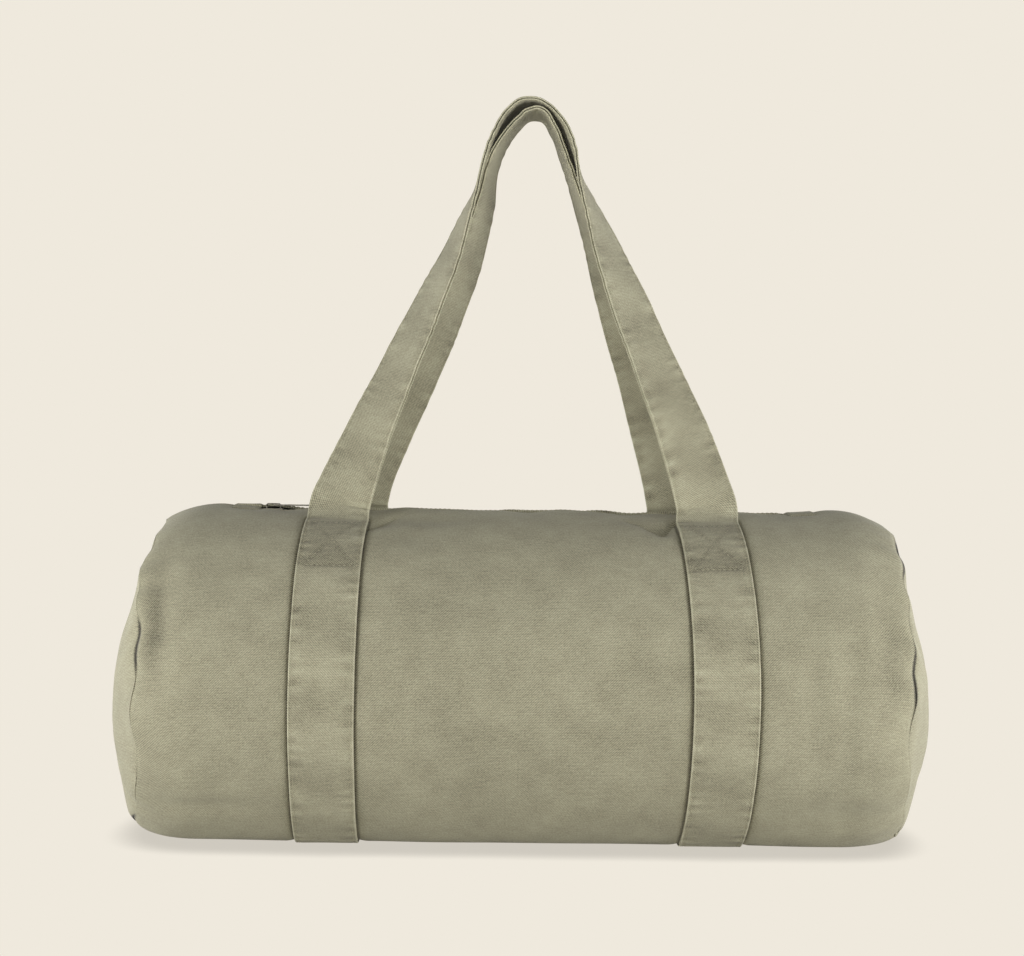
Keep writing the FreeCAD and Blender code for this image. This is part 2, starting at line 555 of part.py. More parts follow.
def handle_strap(face, spacing, arch_radius, top_height):
    """The whole strap of a handle. face is -1 for the front handle and +1 for the rear one."""
    top_line = top_height - size("sizes.strap_thickness / 2")
    arch_centre = Vector(size("sizes.arch_shift"), 0, top_line - arch_radius)

    def on_arch(angle):
        return arch_centre + Vector(math.cos(angle), 0, math.sin(angle)) * arch_radius

    legs, arch_ends = [], []
    for side in (-1, 1):
        foot = Vector(side * spacing / 2, 0, hinge_height)
        out = foot - arch_centre
        swing = math.acos(arch_radius / out.Length)
        arch_ends.append((math.atan2(out.z, out.x) + side * swing) % (2 * math.pi))
        legs.append(list(leg_stations(foot, on_arch(arch_ends[-1]))))
    stations = legs[0]
    for step in range(ARCH_STEPS + 1):
        angle = arch_ends[0] + (arch_ends[1] - arch_ends[0]) * step / ARCH_STEPS
        stations.append((on_arch(angle), Vector(math.sin(angle), 0, -math.cos(angle)), 90))
    stations += [(place, along * -1, turn) for place, along, turn in reversed(legs[1])]

    def lean(height):
        share = (height - hinge_height) / (top_line - hinge_height)
        return hinge_depth + (size("sizes.arch_lean") - hinge_depth) * share

    return Part.makeLoft([strap_section(*station, face, lean) for station in stations], True, True)


def level_slab(bottom, top):
    """Room between two heights that is wider than the bag."""
    reach = 2 * size("sizes.seam_length")
    return Part.makeBox(reach, reach, top - bottom, Vector(-reach / 2, -reach / 2, bottom))


def part_feature(label, shape):
    """A piece whose shape is worked out from the sheet."""
    feature = doc.addObject("Part::Feature", label)
    feature.Label = label
    feature.Shape = shape
    return feature


front_top = hinge_height + size("sizes.handle_rise")
knee_height = hinge_height + size("sizes.knee_rise")
knee_gap = size("sizes.soft_clearance / 2")
for side, face, nesting in (("front", -1, 0), ("rear", 1, size("sizes.handle_nesting"))):
    spacing = size(f"sizes.{side}_strap_spacing")
    strap = handle_strap(face, spacing, size(f"sizes.{side}_arch_radius"), front_top - nesting)
    legs = strap.common(level_slab(hinge_height - size("sizes.foot_drop"), knee_height - knee_gap)).Solids
    legs.sort(key=lambda solid: solid.CenterOfMass.x)
    for end, leg in (("left", legs[0]), ("right", legs[-1])):
        nodes.append(part_feature(f"handle_{side}_leg_{end}", leg))
    loop = strap.common(level_slab(knee_height + knee_gap, front_top + knee_height)).Solids[0]
    nodes.append(part_feature(f"handle_{side}_loop", loop))


# Every object is whole before anything is written
doc.recompute()
for thing in doc.Objects:
    if "Invalid" in thing.State or "Error" in thing.State:
        raise RuntimeError(f"{thing.Label} did not build: {thing.State}")
for node in nodes:
    if node.Shape.isNull() or not node.Shape.isValid() or len(node.Shape.Solids) != 1:
        raise RuntimeError(f"{node.Label} is not one valid solid")

os.makedirs("parts", exist_ok=True)
for node in nodes:
    node.Shape.exportStep(f"parts/{node.Label}.step")
    box_of = node.Shape.BoundBox
    print(
        f"{node.Label}: volume {node.Shape.Volume / 1000:.2f} cm3, "
        f"x {box_of.XMin:.1f} to {box_of.XMax:.1f}, y {box_of.YMin:.1f} to {box_of.YMax:.1f}, "
        f"z {box_of.ZMin:.1f} to {box_of.ZMax:.1f}"
    )
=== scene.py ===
import math

import bpy
import numpy as np
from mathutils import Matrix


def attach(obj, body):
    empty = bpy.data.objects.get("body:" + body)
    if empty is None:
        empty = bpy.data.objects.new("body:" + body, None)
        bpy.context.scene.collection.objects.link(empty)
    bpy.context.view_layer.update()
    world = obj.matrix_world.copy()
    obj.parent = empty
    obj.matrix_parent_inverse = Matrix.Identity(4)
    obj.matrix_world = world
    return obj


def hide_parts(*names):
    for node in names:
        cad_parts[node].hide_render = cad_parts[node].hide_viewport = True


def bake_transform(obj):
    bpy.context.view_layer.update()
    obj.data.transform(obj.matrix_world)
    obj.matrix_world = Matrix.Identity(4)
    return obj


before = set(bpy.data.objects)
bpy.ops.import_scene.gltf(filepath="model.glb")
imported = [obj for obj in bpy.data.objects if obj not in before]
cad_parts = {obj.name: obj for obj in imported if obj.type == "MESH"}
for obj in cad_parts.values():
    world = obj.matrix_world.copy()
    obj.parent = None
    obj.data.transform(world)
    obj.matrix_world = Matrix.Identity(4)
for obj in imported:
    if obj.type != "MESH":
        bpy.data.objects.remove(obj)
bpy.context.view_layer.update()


# Body cloth
# Washed cotton twill wraps the barrel from the zip, under the base and back to the zip. The filling
# pulls it tight. It is cut in a front and a rear half that are sewn under the base, and hemmed at the zip.
FRONT, REAR = -1.0, 1.0
LEFT, RIGHT = -1.0, 1.0
SIDES = ((FRONT, "front"), (REAR, "rear"))
ENDS = ((LEFT, "left"), (RIGHT, "right"))
AXIS_HEIGHT = 0.115
BARREL_RADIUS = 0.125
SEAM_X = 0.264
SHOULDER_X = 0.225
SHOULDER_ROUND = 0.078
CLOTH_THICKNESS = 0.0015
FLOOR_CLEARANCE = 0.0003
STRAP_THICKNESS = 0.0026
STRAP_HALF_WIDTH = 0.022
BASE_SOFTNESS = 0.0020
BASE_SAG = {LEFT: 0.0080, RIGHT: 0.0050}
SIDE_DRAW = {LEFT: 0.0035, RIGHT: 0.0010}
TOP_DRAW = {LEFT: 0.0045, RIGHT: 0.0005}
STRAP_TOP_TURNS = (2.79, 2.87)
ZIP_HALF_LENGTH = 0.196
ZIP_EDGE = 0.0056
TAB_MIDDLE_X = 0.204
WALE_PITCH = 0.00085
PICK_PITCH = 0.0011

# Slow swells over the filling: waves per metre along the bag, waves over the unit circle, and a start
SWELLS = ((33, 5, 4, 0.4), (-21, 3, -6, 2.1), (49, -4, 2, 4.0), (14, 6, -5, 1.2), (71, 2, 5, 5.2))

# Dents that the photograph shows on the front: place along the bag, height, reach both ways and depth
FRONT_DENTS = (
    (-0.1010, 0.2310, 0.012, 0.010, 0.0024),
    (0.0970, 0.2290, 0.011, 0.010, 0.0028),
    (-0.0790, 0.2195, 0.012, 0.012, 0.0016),
    (-0.0650, 0.2330, 0.028, 0.014, 0.0020),
    (0.1950, 0.1150, 0.009, 0.060, 0.0015),
    (0.2180, 0.1080, 0.009, 0.055, 0.0017),
    (-0.2480, 0.1680, 0.009, 0.040, 0.0030),
    (0.2460, 0.1560, 0.010, 0.045, 0.0020),
    (-0.2200, 0.0330, 0.040, 0.008, 0.0022),
    (0.2250, 0.0300, 0.036, 0.012, 0.0022),
)

# Creases where the straps pull the front up: two ends as place along the bag and height, then width and depth
FRONT_CREASES = (
    ((-0.1110, 0.2270), (-0.0930, 0.2350), 0.0050, 0.0030),
    ((0.0760, 0.2335), (0.0985, 0.2255), 0.0045, 0.0028),
    ((0.0985, 0.2255), (0.1075, 0.2330), 0.0030, 0.0032),
)

# A front strap's middle line: place at the base, bow at mid height, and slant for each radian upwards
FRONT_STRAP_LINES = {LEFT: (0.1355, 0.0, -0.0009), RIGHT: (0.1333, 0.0048, -0.0010)}
REAR_STRAP_TOPS = {LEFT: 0.1240, RIGHT: 0.1160}
REAR_STRAP_BASE = 0.1300

# Painted shade of the soft folds beside the end seams at the front: place along the bag, turn, reach both
# ways and shade
PAINTED_FOLD_SHADES = ((-0.2500, 1.98, 0.008, 0.30, 0.24), (0.2470, 1.84, 0.010, 0.34, 0.13))

# Where an end seam gapes: turn from the base upwards, below 0 at the front, and reach.
# Elsewhere it is nearly closed.
SEAM_GAPES = {
    LEFT: ((-1.84, 0.15), (-0.45, 0.14), (1.40, 0.30), (2.30, 0.25)),
    RIGHT: ((-2.52, 0.17), (-1.70, 0.16), (0.90, 0.25), (2.05, 0.30)),
}

# Where the zip's edges stop going with the mouth, and how much sooner they do where the slider stops
MOUTH_ENDS = (0.160, 0.203)
SLIDER_DRAW = (0.055, 0.039)


def smooth_step(low, high, value):
    """0 before low, 1 after high, and an even rise between them."""
    share = np.clip((value - low) / (high - low), 0.0, 1.0)
    return share * share * (3.0 - 2.0 * share)


def swell(x, y, z):
    """The filling's slow unevenness, from -1 to 1."""
    total = 0.0
    for along, across, up, start in SWELLS:
        total = total + np.sin(along * x + across * y + up * z + start)
    return total / len(SWELLS)


def pucker(turn, end):
    """Gathers of the end seam: round ridges with sharp creases between them, from 0 to 1."""
    drift = 1.6 * np.sin(3 * turn + end) + 0.9 * np.sin(5 * turn + 2.0 * end)
    ridges = np.abs(np.sin(13.5 * turn + drift)) ** 0.8
    strength = 0.55 + 0.45 * np.sin(4 * turn + 1.1 + 2.3 * end)
    return ridges * strength + 0.14 * np.sin(37 * turn + drift)


def seam_wander(turn, end):
    """How far the end seam strays along the bag, in metres."""
    return 0.0013 * np.sin(7 * turn + 1.4 * end) + 0.0011 * np.sin(17 * turn + 2.0 * np.sin(3 * turn) + end)


def seam_depth(turn, end):
    """How deep the end seam lies between its two cloths: 1 where it gapes."""
    depth = 0.14 + 0.05 * end + 0.08 * np.sin(9 * turn + end)
    for gaping_end, gapes in SEAM_GAPES.items():
        for middle, reach in gapes:
            depth = depth + (end == gaping_end) * 0.8 * np.exp(-((turn - middle) / reach) ** 2)
    return np.minimum(depth, 1.0)


def painted_seam_shade(to_seam, turn, end):
    """Painted shade in the end seam's groove: how much darker the cloth is drawn there."""
    return -0.75 * smooth_step(0.15, 0.70, seam_depth(turn, end)) * np.exp(-(to_seam / 0.0011) ** 2)


def settled(turn):
    """1 at the base, where the filling settles, and 0 from mid height up."""
    return 1.0 - smooth_step(0.30, 1.05, turn)


def strap_middle(turn, side, end):
    """Where a strap's middle line lies along the bag at a turn from the base upwards."""
    if side == FRONT:
        base, bow, slant = FRONT_STRAP_LINES[end]
        return end * (base + bow * np.sin(turn) ** 2 + slant * turn)
    return end * (REAR_STRAP_BASE + (REAR_STRAP_TOPS[end] - REAR_STRAP_BASE) * smooth_step(0.3, 2.6, turn))


def under_straps(x, turn, side):
    """1 under a strap, 0 away from it and past its top."""
    share = 0.0
    for end in (LEFT, RIGHT):
        away = np.abs(x - strap_middle(turn, side, end))
        share = share + 1.0 - smooth_step(STRAP_HALF_WIDTH - 0.003, STRAP_HALF_WIDTH + 0.007, away)
    return share * (1.0 - smooth_step(*STRAP_TOP_TURNS, turn))


def beside_straps(x, turn, side):
    """1 in the narrow valley along each edge of a strap, up to its top."""
    share = 0.0
    for end in (LEFT, RIGHT):
        away = np.abs(x - strap_middle(turn, side, end)) - STRAP_HALF_WIDTH
        share = share + np.exp(-((away - 0.0005) / 0.0011) ** 2)
    return share * (1.0 - smooth_step(*STRAP_TOP_TURNS, turn))


def turn_at(height):
    """The turn from the base at which the barrel's round reaches a height."""
    return math.acos((AXIS_HEIGHT - height) / BARREL_RADIUS)


def zip_relief(x, turn, side):
    """How far the cloth near the zip stands out, in metres.
    It is drawn down along the zip, ruffled at its edge and sunk under the tabs."""
    in_mouth = 1.0 - smooth_step(0.155, ZIP_HALF_LENGTH + 0.016, np.abs(x))
    relief = -0.0016 * smooth_step(2.20, 3.00, turn) * (1.0 - smooth_step(0.19, 0.25, x))
    relief = relief - 0.0022 * smooth_step(2.35, 3.06, turn) * in_mouth
    ruffle = np.sin(61 * x + 0.7 * side) + 0.8 * np.sin(104 * x + 2.0 * side) + 0.5 * np.sin(173 * x + 4.0)
    relief = relief + 0.0007 * ruffle * smooth_step(2.75, 3.10, turn) * in_mouth
    under_tab = np.exp(-((np.abs(x) - TAB_MIDDLE_X) / 0.014) ** 4)
    relief = relief - 0.0016 * under_tab * smooth_step(2.86, 3.02, turn)
    if side == FRONT:
        zip_shows = np.exp(-((x + 0.182) / 0.028) ** 2) + np.exp(-((x - 0.075) / 0.034) ** 2)
        return relief - 0.0014 * zip_shows * smooth_step(2.85, 3.10, turn)
    rear_lip = np.exp(-((x + 0.184) / 0.026) ** 2)
    return relief + 0.0010 * rear_lip * smooth_step(2.80, 3.05, turn)


def seam_relief(to_seam, turn, end):
    """How far the cloth beside an end seam stands out, in metres: its puckers less the seam's groove."""
    puckers = 0.0018 * (pucker(turn, end) - 0.5) * np.exp(-to_seam / 0.016)
    return puckers - 0.0032 * seam_depth(turn, end) * np.exp(-(to_seam / 0.0020) ** 2)


def front_relief(x, turn):
    """How deep the front's dents and creases are, in metres."""
    relief = 0.0
    for place, height, reach_x, reach_arc, depth in FRONT_DENTS:
        from_arc = (turn - turn_at(height)) * BARREL_RADIUS
        away = ((x - place) / reach_x) ** 2 + (from_arc / reach_arc) ** 2
        relief = relief + depth * np.exp(-away)
    for (start_x, start_height), (stop_x, stop_height), width, depth in FRONT_CREASES:
        start_turn, stop_turn = turn_at(start_height), turn_at(stop_height)
        run_x, run_arc = stop_x - start_x, (stop_turn - start_turn) * BARREL_RADIUS
        from_x, from_arc = x - start_x, (turn - start_turn) * BARREL_RADIUS
        share = np.clip((from_x * run_x + from_arc * run_arc) / (run_x ** 2 + run_arc ** 2), 0.0, 1.0)
        away = np.hypot(from_x - share * run_x, from_arc - share * run_arc)
        relief = relief + depth * np.exp(-away / width)
    return relief


def end_draw(x, turn):
    """How far an end of the cloth sags out at the base, less its draw inwards at the sides and top."""
    pulls = (BASE_SAG, SIDE_DRAW, TOP_DRAW)
    base_sag, side_draw, top_draw = (np.where(x < 0, pull[LEFT], pull[RIGHT]) for pull in pulls)
    drawn = base_sag * settled(turn) - top_draw * smooth_step(2.15, 2.62, turn)
    return drawn - side_draw * smooth_step(0.7, 1.2, turn) * (1.0 - smooth_step(2.0, 2.5, turn))


def barrel_surface(x, turn, side):
    """Points on the outside of the body cloth. turn runs from 0 under the base to pi at the top."""
    x, turn = np.broadcast_arrays(np.asarray(x, float), np.asarray(turn, float))
    end = np.where(x < 0, LEFT, RIGHT)
    across, up = side * np.sin(turn), -np.cos(turn)
    round_turn = side * turn
    to_seam = SEAM_X - np.abs(x)
    past_shoulder = np.clip(np.abs(x) - SHOULDER_X, 0.0, 0.05)
    radius = BARREL_RADIUS - SHOULDER_ROUND + np.sqrt(SHOULDER_ROUND ** 2 - past_shoulder ** 2)
    radius = radius + 0.0010 * swell(x, across, up)
    radius = radius + zip_relief(x, turn, side) + seam_relief(to_seam, round_turn, end)
    strap_grooves = 0.0010 * under_straps(x, turn, side) + 0.0009 * beside_straps(x, turn, side)
    radius = radius - strap_grooves * smooth_step(0.3, 0.7, turn)
    if side == FRONT:
        radius = radius - front_relief(x, turn)

    stray = seam_wander(round_turn, end) * np.exp(-to_seam / 0.03)
    along = x + end * (stray + end_draw(x, turn) * np.exp(-to_seam / 0.06))
    base = FLOOR_CLEARANCE + (STRAP_THICKNESS - FLOOR_CLEARANCE) * under_straps(x, turn, side)
    height = AXIS_HEIGHT + radius * up
    height = base + BASE_SOFTNESS * np.logaddexp(0.0, (height - base) / BASE_SOFTNESS)
    return np.stack((along, radius * across, height), axis=-1)


def cloth_cut(name, columns, rows):
    """A flat cut of cloth: an even grid, with the two places of its points from 0 to 1."""
    bpy.ops.object.select_all(action="DESELECT")
    bpy.ops.mesh.primitive_grid_add(x_subdivisions=columns, y_subdivisions=rows, size=1.0)
    piece = bpy.context.object
    piece.name = piece.data.name = name
    places = points_of(piece) + 0.5
    return piece, places[:, 0], places[:, 1]


def points_of(piece):
    """The piece's points as rows of three."""
    places = np.empty(len(piece.data.vertices) * 3)
    piece.data.vertices.foreach_get("co", places)
    return places.reshape(-1, 3)


def corner_points(mesh):
    """The point that each face corner stands on."""
    corners = np.empty(len(mesh.loops), int)
    mesh.loops.foreach_get("vertex_index", corners)
    return corners


def set_cut_map(piece, flat):
    """Keeps each point's place on the flat cut, in metres, as the piece's own map for the weave."""
    mesh = piece.data
    while mesh.uv_layers:
        mesh.uv_layers.remove(mesh.uv_layers[0])
    layer = mesh.uv_layers.new(name="cut")
    layer.data.foreach_set("uv", np.asarray(flat, float)[corner_points(mesh)].ravel())


def shape_cloth(piece, points, flat):
    """Lays the flat cut over its shape."""
    piece.data.vertices.foreach_set("co", np.asarray(points, float).ravel())
    piece.data.update()
    set_cut_map(piece, flat)


def select_only(piece):
    """Leaves just this piece selected and active."""
    bpy.ops.object.select_all(action="DESELECT")
    piece.select_set(True)
    bpy.context.view_layer.objects.active = piece


def apply_modifier(piece, kind, **settings):
    """Adds a modifier to the piece and applies it."""
    select_only(piece)
    modifier = piece.modifiers.new(kind.title(), kind)
    for key, setting in settings.items():
        setattr(modifier, key, setting)
    bpy.ops.object.modifier_apply(modifier=modifier.name)


def tidy_mesh(piece, merge=True, outwards=True, smooth_angle=0.7):
    """Closes seams and poles, turns the faces outwards and smooths all but the sharp edges."""
    select_only(piece)
    bpy.ops.object.mode_set(mode="EDIT")
    bpy.ops.mesh.select_all(action="SELECT")
    if merge:
        bpy.ops.mesh.remove_doubles(threshold=0.00002)
    if outwards:
        bpy.ops.mesh.normals_make_consistent(inside=False)
    bpy.ops.object.mode_set(mode="OBJECT")
    bpy.ops.object.shade_smooth_by_angle(angle=smooth_angle)


def thicken(piece, thickness):
    """Gives a sheet its thickness, towards its inner side."""
    apply_modifier(piece, "SOLIDIFY", thickness=thickness, offset=-1.0)
    tidy_mesh(piece, merge=False, outwards=False)


def mouth_share(points):
    """How far points go with the opening mouth: none at mid height and past the zip, all beside the zip.
    At the open end the zip's edges draw in to where the slider stops."""
    x = points[:, 0]
    from_top = np.degrees(np.arctan2(np.abs(points[:, 1]), points[:, 2] - AXIS_HEIGHT))
    near_top = 1.0 - smooth_step(35, 95, from_top)
    near_zip = 1.0 - smooth_step(5, 20, from_top)
    right_ends = (place - draw * near_zip for place, draw in zip(MOUTH_ENDS, SLIDER_DRAW))
    to_left = 1.0 - smooth_step(*MOUTH_ENDS, -x)
    to_right = 1.0 - smooth_step(*right_ends, x)
    return near_top * to_left * to_right


def follow_mouth(piece):
    """Bakes the piece's place into its points and works out how far each point goes with the mouth, which is
    not kept.
    """
    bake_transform(piece)
    share = mouth_share(points_of(piece)).astype(np.float32)


def socket_of(tree, kind, values=(), links=(), output=0, **settings):
    """A new node with its settings, socket values and incoming links, given back as one of its outputs."""
    node = tree.nodes.new(kind)
    for key, setting in settings.items():
        setattr(node, key, setting)
    for key, number in values:
        node.inputs[key].default_value = number
    for key, source in links:
        tree.links.new(source, node.inputs[key])
    return node.outputs[output]


def calculate(tree, operation, first, second=0.0):
    """One step of arithmetic on sockets or plain numbers."""
    node = tree.nodes.new("ShaderNodeMath")
    node.operation = operation
    for slot, source in enumerate((first, second)):
        if isinstance(source, (int, float)):
            node.inputs[slot].default_value = source
        else:
            tree.links.new(source, node.inputs[slot])
    return node.outputs[0]


def add_parts(tree, base, parts):
    """A tone made of patterns from 0 to 1, each swinging round the base by its strength."""
    tone = base
    for source, strength in parts:
        part = calculate(tree, "MULTIPLY", calculate(tree, "SUBTRACT", source, 0.5), strength)
        tone = calculate(tree, "ADD", part, tone)
    return tone


def linear(red, green, blue):
    """A colour given as it looks on screen, 0 to 255, as the renderer takes it."""
    shares = [channel / 255 for channel in (red, green, blue)]
    parts = [(c / 12.92) if c <= 0.04045 else ((c + 0.055) / 1.055) ** 2.4 for c in shares]
    return (*parts, 1.0)


def new_material(name, roughness, **sockets):
    """A material with one shader, and its plain settings on the shader's own sockets."""
    material = bpy.data.materials.new(name)
    material.use_nodes = True
    shader = material.node_tree.nodes["Principled BSDF"]
    shader.inputs["Roughness"].default_value = roughness
    for key, setting in sockets.items():
        shader.inputs[key.replace("_", " ")].default_value = setting
    return material, material.node_tree, shader


def set_colours(tree, shader, tone, dark, middle, pale, deep=None):
    """Runs a tone from 0 to 1 through three colours into the shader.
    A deep colour for the painted shade in grooves comes before them if it is given."""
    ramp = tree.nodes.new("ShaderNodeValToRGB")
    stops = ramp.color_ramp.elements
    stops[0].color = linear(*(deep or dark))
    stops[1].color = linear(*pale)
    stops.new(0.5).color = linear(*middle)
    if deep:
        stops.new(0.16).color = linear(*dark)
    tree.links.new(tone, ramp.inputs["Fac"])
    tree.links.new(ramp.outputs["Color"], shader.inputs["Base Color"])


def set_relief(tree, shader, height, strength, distance):
    """Raises a fine relief on the shader."""
    values = [("Strength", strength), ("Distance", distance)]
    tree.links.new(socket_of(tree, "ShaderNodeBump", values, [("Height", height)]), shader.inputs["Normal"])


def pattern(tree, vector, scale, detail=2.0, roughness=0.5):
    """An uneven cloudy pattern, from 0 to 1, with so many clouds to the metre."""
    values = [("Scale", scale), ("Detail", detail), ("Roughness", roughness)]
    return socket_of(tree, "ShaderNodeTexNoise", values, [("Vector", vector)])


def ribs(tree, vector, pitch, direction, distortion):
    """Even ribs at a pitch in metres, slightly crooked."""
    values = [("Scale", 2 * math.pi / (20 * pitch)), ("Distortion", distortion), ("Detail", 1.0)]
    links = [("Vector", vector)]
    return socket_of(tree, "ShaderNodeTexWave", values, links, 1, bands_direction=direction)


def moved_range(tree, source, source_range, target_range, **settings):
    """A value moved from one range to another, and held at its ends."""
    values = [("From Min", source_range[0]), ("From Max", source_range[1])]
    values += [("To Min", target_range[0]), ("To Max", target_range[1])]
    return socket_of(tree, "ShaderNodeMapRange", values, [("Value", source)], **settings)


def washed_twill(name, strap=False):
    """Cotton twill faded in the wash: slanting wales, uneven yarn and soft clouds.
    A strap is paler along its edges, and blotched where they gather."""
    material, tree, shader = new_material(name, 0.92, Sheen_Weight=0.10, Sheen_Roughness=0.6)
    cut = socket_of(tree, "ShaderNodeUVMap", uv_map="cut")
    wales = ribs(tree, cut, WALE_PITCH, "DIAGONAL", 0.8)
    picks = ribs(tree, cut, PICK_PITCH, "Y", 0.6)
    yarn = pattern(tree, cut, 700.0, 3.0, 0.7)
    stretch = socket_of(tree, "ShaderNodeMapping", [("Scale", (1.0, 5.0, 1.0))], [("Vector", cut)])
    slub = pattern(tree, stretch, 130.0, 3.0)
    cloud = pattern(tree, cut, 45.0, 4.0, 0.6)
    patch = pattern(tree, cut, 9.0, 2.0)
    weave = ((wales, 0.36), (picks, 0.22), (yarn, 0.80), (slub, 0.22), (cloud, 0.34), (patch, 0.24))
    tone = add_parts(tree, 0.5, weave)
    if strap:
        across = socket_of(tree, "ShaderNodeSeparateXYZ", links=[("Vector", cut)])
        from_middle = calculate(tree, "ABSOLUTE", across)
        worn_edge = moved_range(tree, from_middle, (0.0209, 0.0217), (0.0, 0.34))
        tone = calculate(tree, "ADD", tone, worn_edge)
        near_edge = moved_range(tree, from_middle, (0.0100, 0.0190), (0.0, 0.60))
        squeeze = socket_of(tree, "ShaderNodeMapping", [("Scale", (0.5, 1.4, 1.0))], [("Vector", cut)])
        gather = calculate(tree, "SUBTRACT", pattern(tree, squeeze, 95.0), 0.5)
        tone = calculate(tree, "ADD", tone, calculate(tree, "MULTIPLY", gather, near_edge))
    # The tone attribute adds painted shade in seam grooves, folds, strap valleys and box lines, and painted
    # light and shade on the strap gathers.
    shade = socket_of(tree, "ShaderNodeAttribute", attribute_name="tone", output=2)
    tone = calculate(tree, "ADD", tone, shade)
    set_colours(tree, shader, tone, (106, 101, 82), (151, 147, 122), (194, 190, 163), deep=(52, 49, 39))
    relief = add_parts(tree, 0.5, ((wales, 0.5), (picks, 0.4), (yarn, 0.8)))
    set_relief(tree, shader, relief, 0.30, 0.0005)
    return material


def column_places(share, turn, side):
    """Places along the bag for even shares from 0 to 1, closer together at the end seams and strap edges."""
    middles = {end: float(strap_middle(math.pi / 2, side, end)) for end in (LEFT, RIGHT)}
    x = np.linspace(-SEAM_X, SEAM_X, 2001)
    density = 1.0 + 1.6 * np.exp(-(SEAM_X - np.abs(x)) / 0.012)
    for middle in middles.values():
        density = density + 2.6 * np.exp(-((np.abs(x - middle) - STRAP_HALF_WIDTH) / 0.0045) ** 2)
    total = np.concatenate(([0.0], np.cumsum((density[1:] + density[:-1]) / 2)))
    places = np.interp(share * total[-1], total, x)
    slide = 0.0
    for end, middle in middles.items():
        near = 1.0 - smooth_step(0.030, 0.075, np.abs(places - middle))
        slide = slide + near * (strap_middle(turn, side, end) - middle)
    return places + slide


def set_tone(piece, tone_at):
    """Keeps how much darker or paler the cloth is at each point, from its place on the flat cut."""
    mesh = piece.data
    cut = np.empty(len(mesh.loops) * 2)
    mesh.uv_layers["cut"].data.foreach_get("uv", cut)
    tone = np.zeros(len(mesh.vertices), np.float32)
    tone[corner_points(mesh)] = tone_at(*cut.reshape(-1, 2).T)
    mesh.attributes.new("tone", "FLOAT", "POINT").data.foreach_set("value", tone)


def body_painted_shade(x, arc, side):
    """The body cloth's painted shade: in its seam grooves, on the soft folds beside them and in the valleys
    along straps.
    """
    round_turn = arc / BARREL_RADIUS
    tone = painted_seam_shade(SEAM_X - np.abs(x), round_turn, np.sign(x))
    for place, turn, reach_x, reach_turn, shade in PAINTED_FOLD_SHADES:
        away = ((x - place) / reach_x) ** 2 + ((round_turn + turn) / reach_turn) ** 2
        tone = tone - shade * np.exp(-away)
    return tone - 0.34 * beside_straps(x, np.abs(round_turn), side)


body_twill = washed_twill("body_twill")
for side, side_name in SIDES:
    body_cloth, along_cut, around_cut = cloth_cut(f"body_cloth_{side_name}", 330, 140)
    rise = around_cut + 0.12 * np.sin(math.pi * around_cut)
    rise = (rise - rise.min()) / (rise.max() - rise.min())
    along = column_places(along_cut, rise * math.pi, side)
    in_mouth = 1.0 - smooth_step(ZIP_HALF_LENGTH - 0.006, ZIP_HALF_LENGTH + 0.004, np.abs(along))
    zip_edge = (ZIP_EDGE + 0.0007 * np.sin(83 * along + side)) * in_mouth
    turn = rise * (math.pi - zip_edge / BARREL_RADIUS)
    flat = np.stack((along, side * turn * BARREL_RADIUS), axis=-1)
    shape_cloth(body_cloth, barrel_surface(along, turn, side), flat)
    tidy_mesh(body_cloth, merge=False)
    thicken(body_cloth, CLOTH_THICKNESS)
    body_cloth.data.materials.append(body_twill)
    set_tone(body_cloth, lambda x, arc: body_painted_shade(x, arc, side))
    follow_mouth(body_cloth)
    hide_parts(f"mouth_panel_{side_name}")
    if side == FRONT:
        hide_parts("body_panel")


# End panels
# A round of the same twill closes each end. It is sewn to the body cloth with the seam turned in, so both
# cloths gather along the seam. The filling bows the panel outwards, most towards the base.
END_BULGE = {LEFT: 0.0290, RIGHT: 0.0285}
END_FULLNESS = {LEFT: 2.8, RIGHT: 2.4}
RIM_ROLL = 0.0030
CENTRE_SAG = 0.018
PANEL_RADIUS = 0.118


def seam_rim(turn, end):
    """Where the body cloth stops at an end seam. turn is below 0 at the front."""
    front = barrel_surface(end * SEAM_X, np.abs(turn), FRONT)
    rear = barrel_surface(end * SEAM_X, np.abs(turn), REAR)
    return np.where(turn[:, None] < 0, front, rear)


def panel_painted_shade(across, up, end):
    """The end panel's painted shade, in its seam's groove."""
    return painted_seam_shade(PANEL_RADIUS - np.hypot(across, up), np.arctan2(across, -up), end)


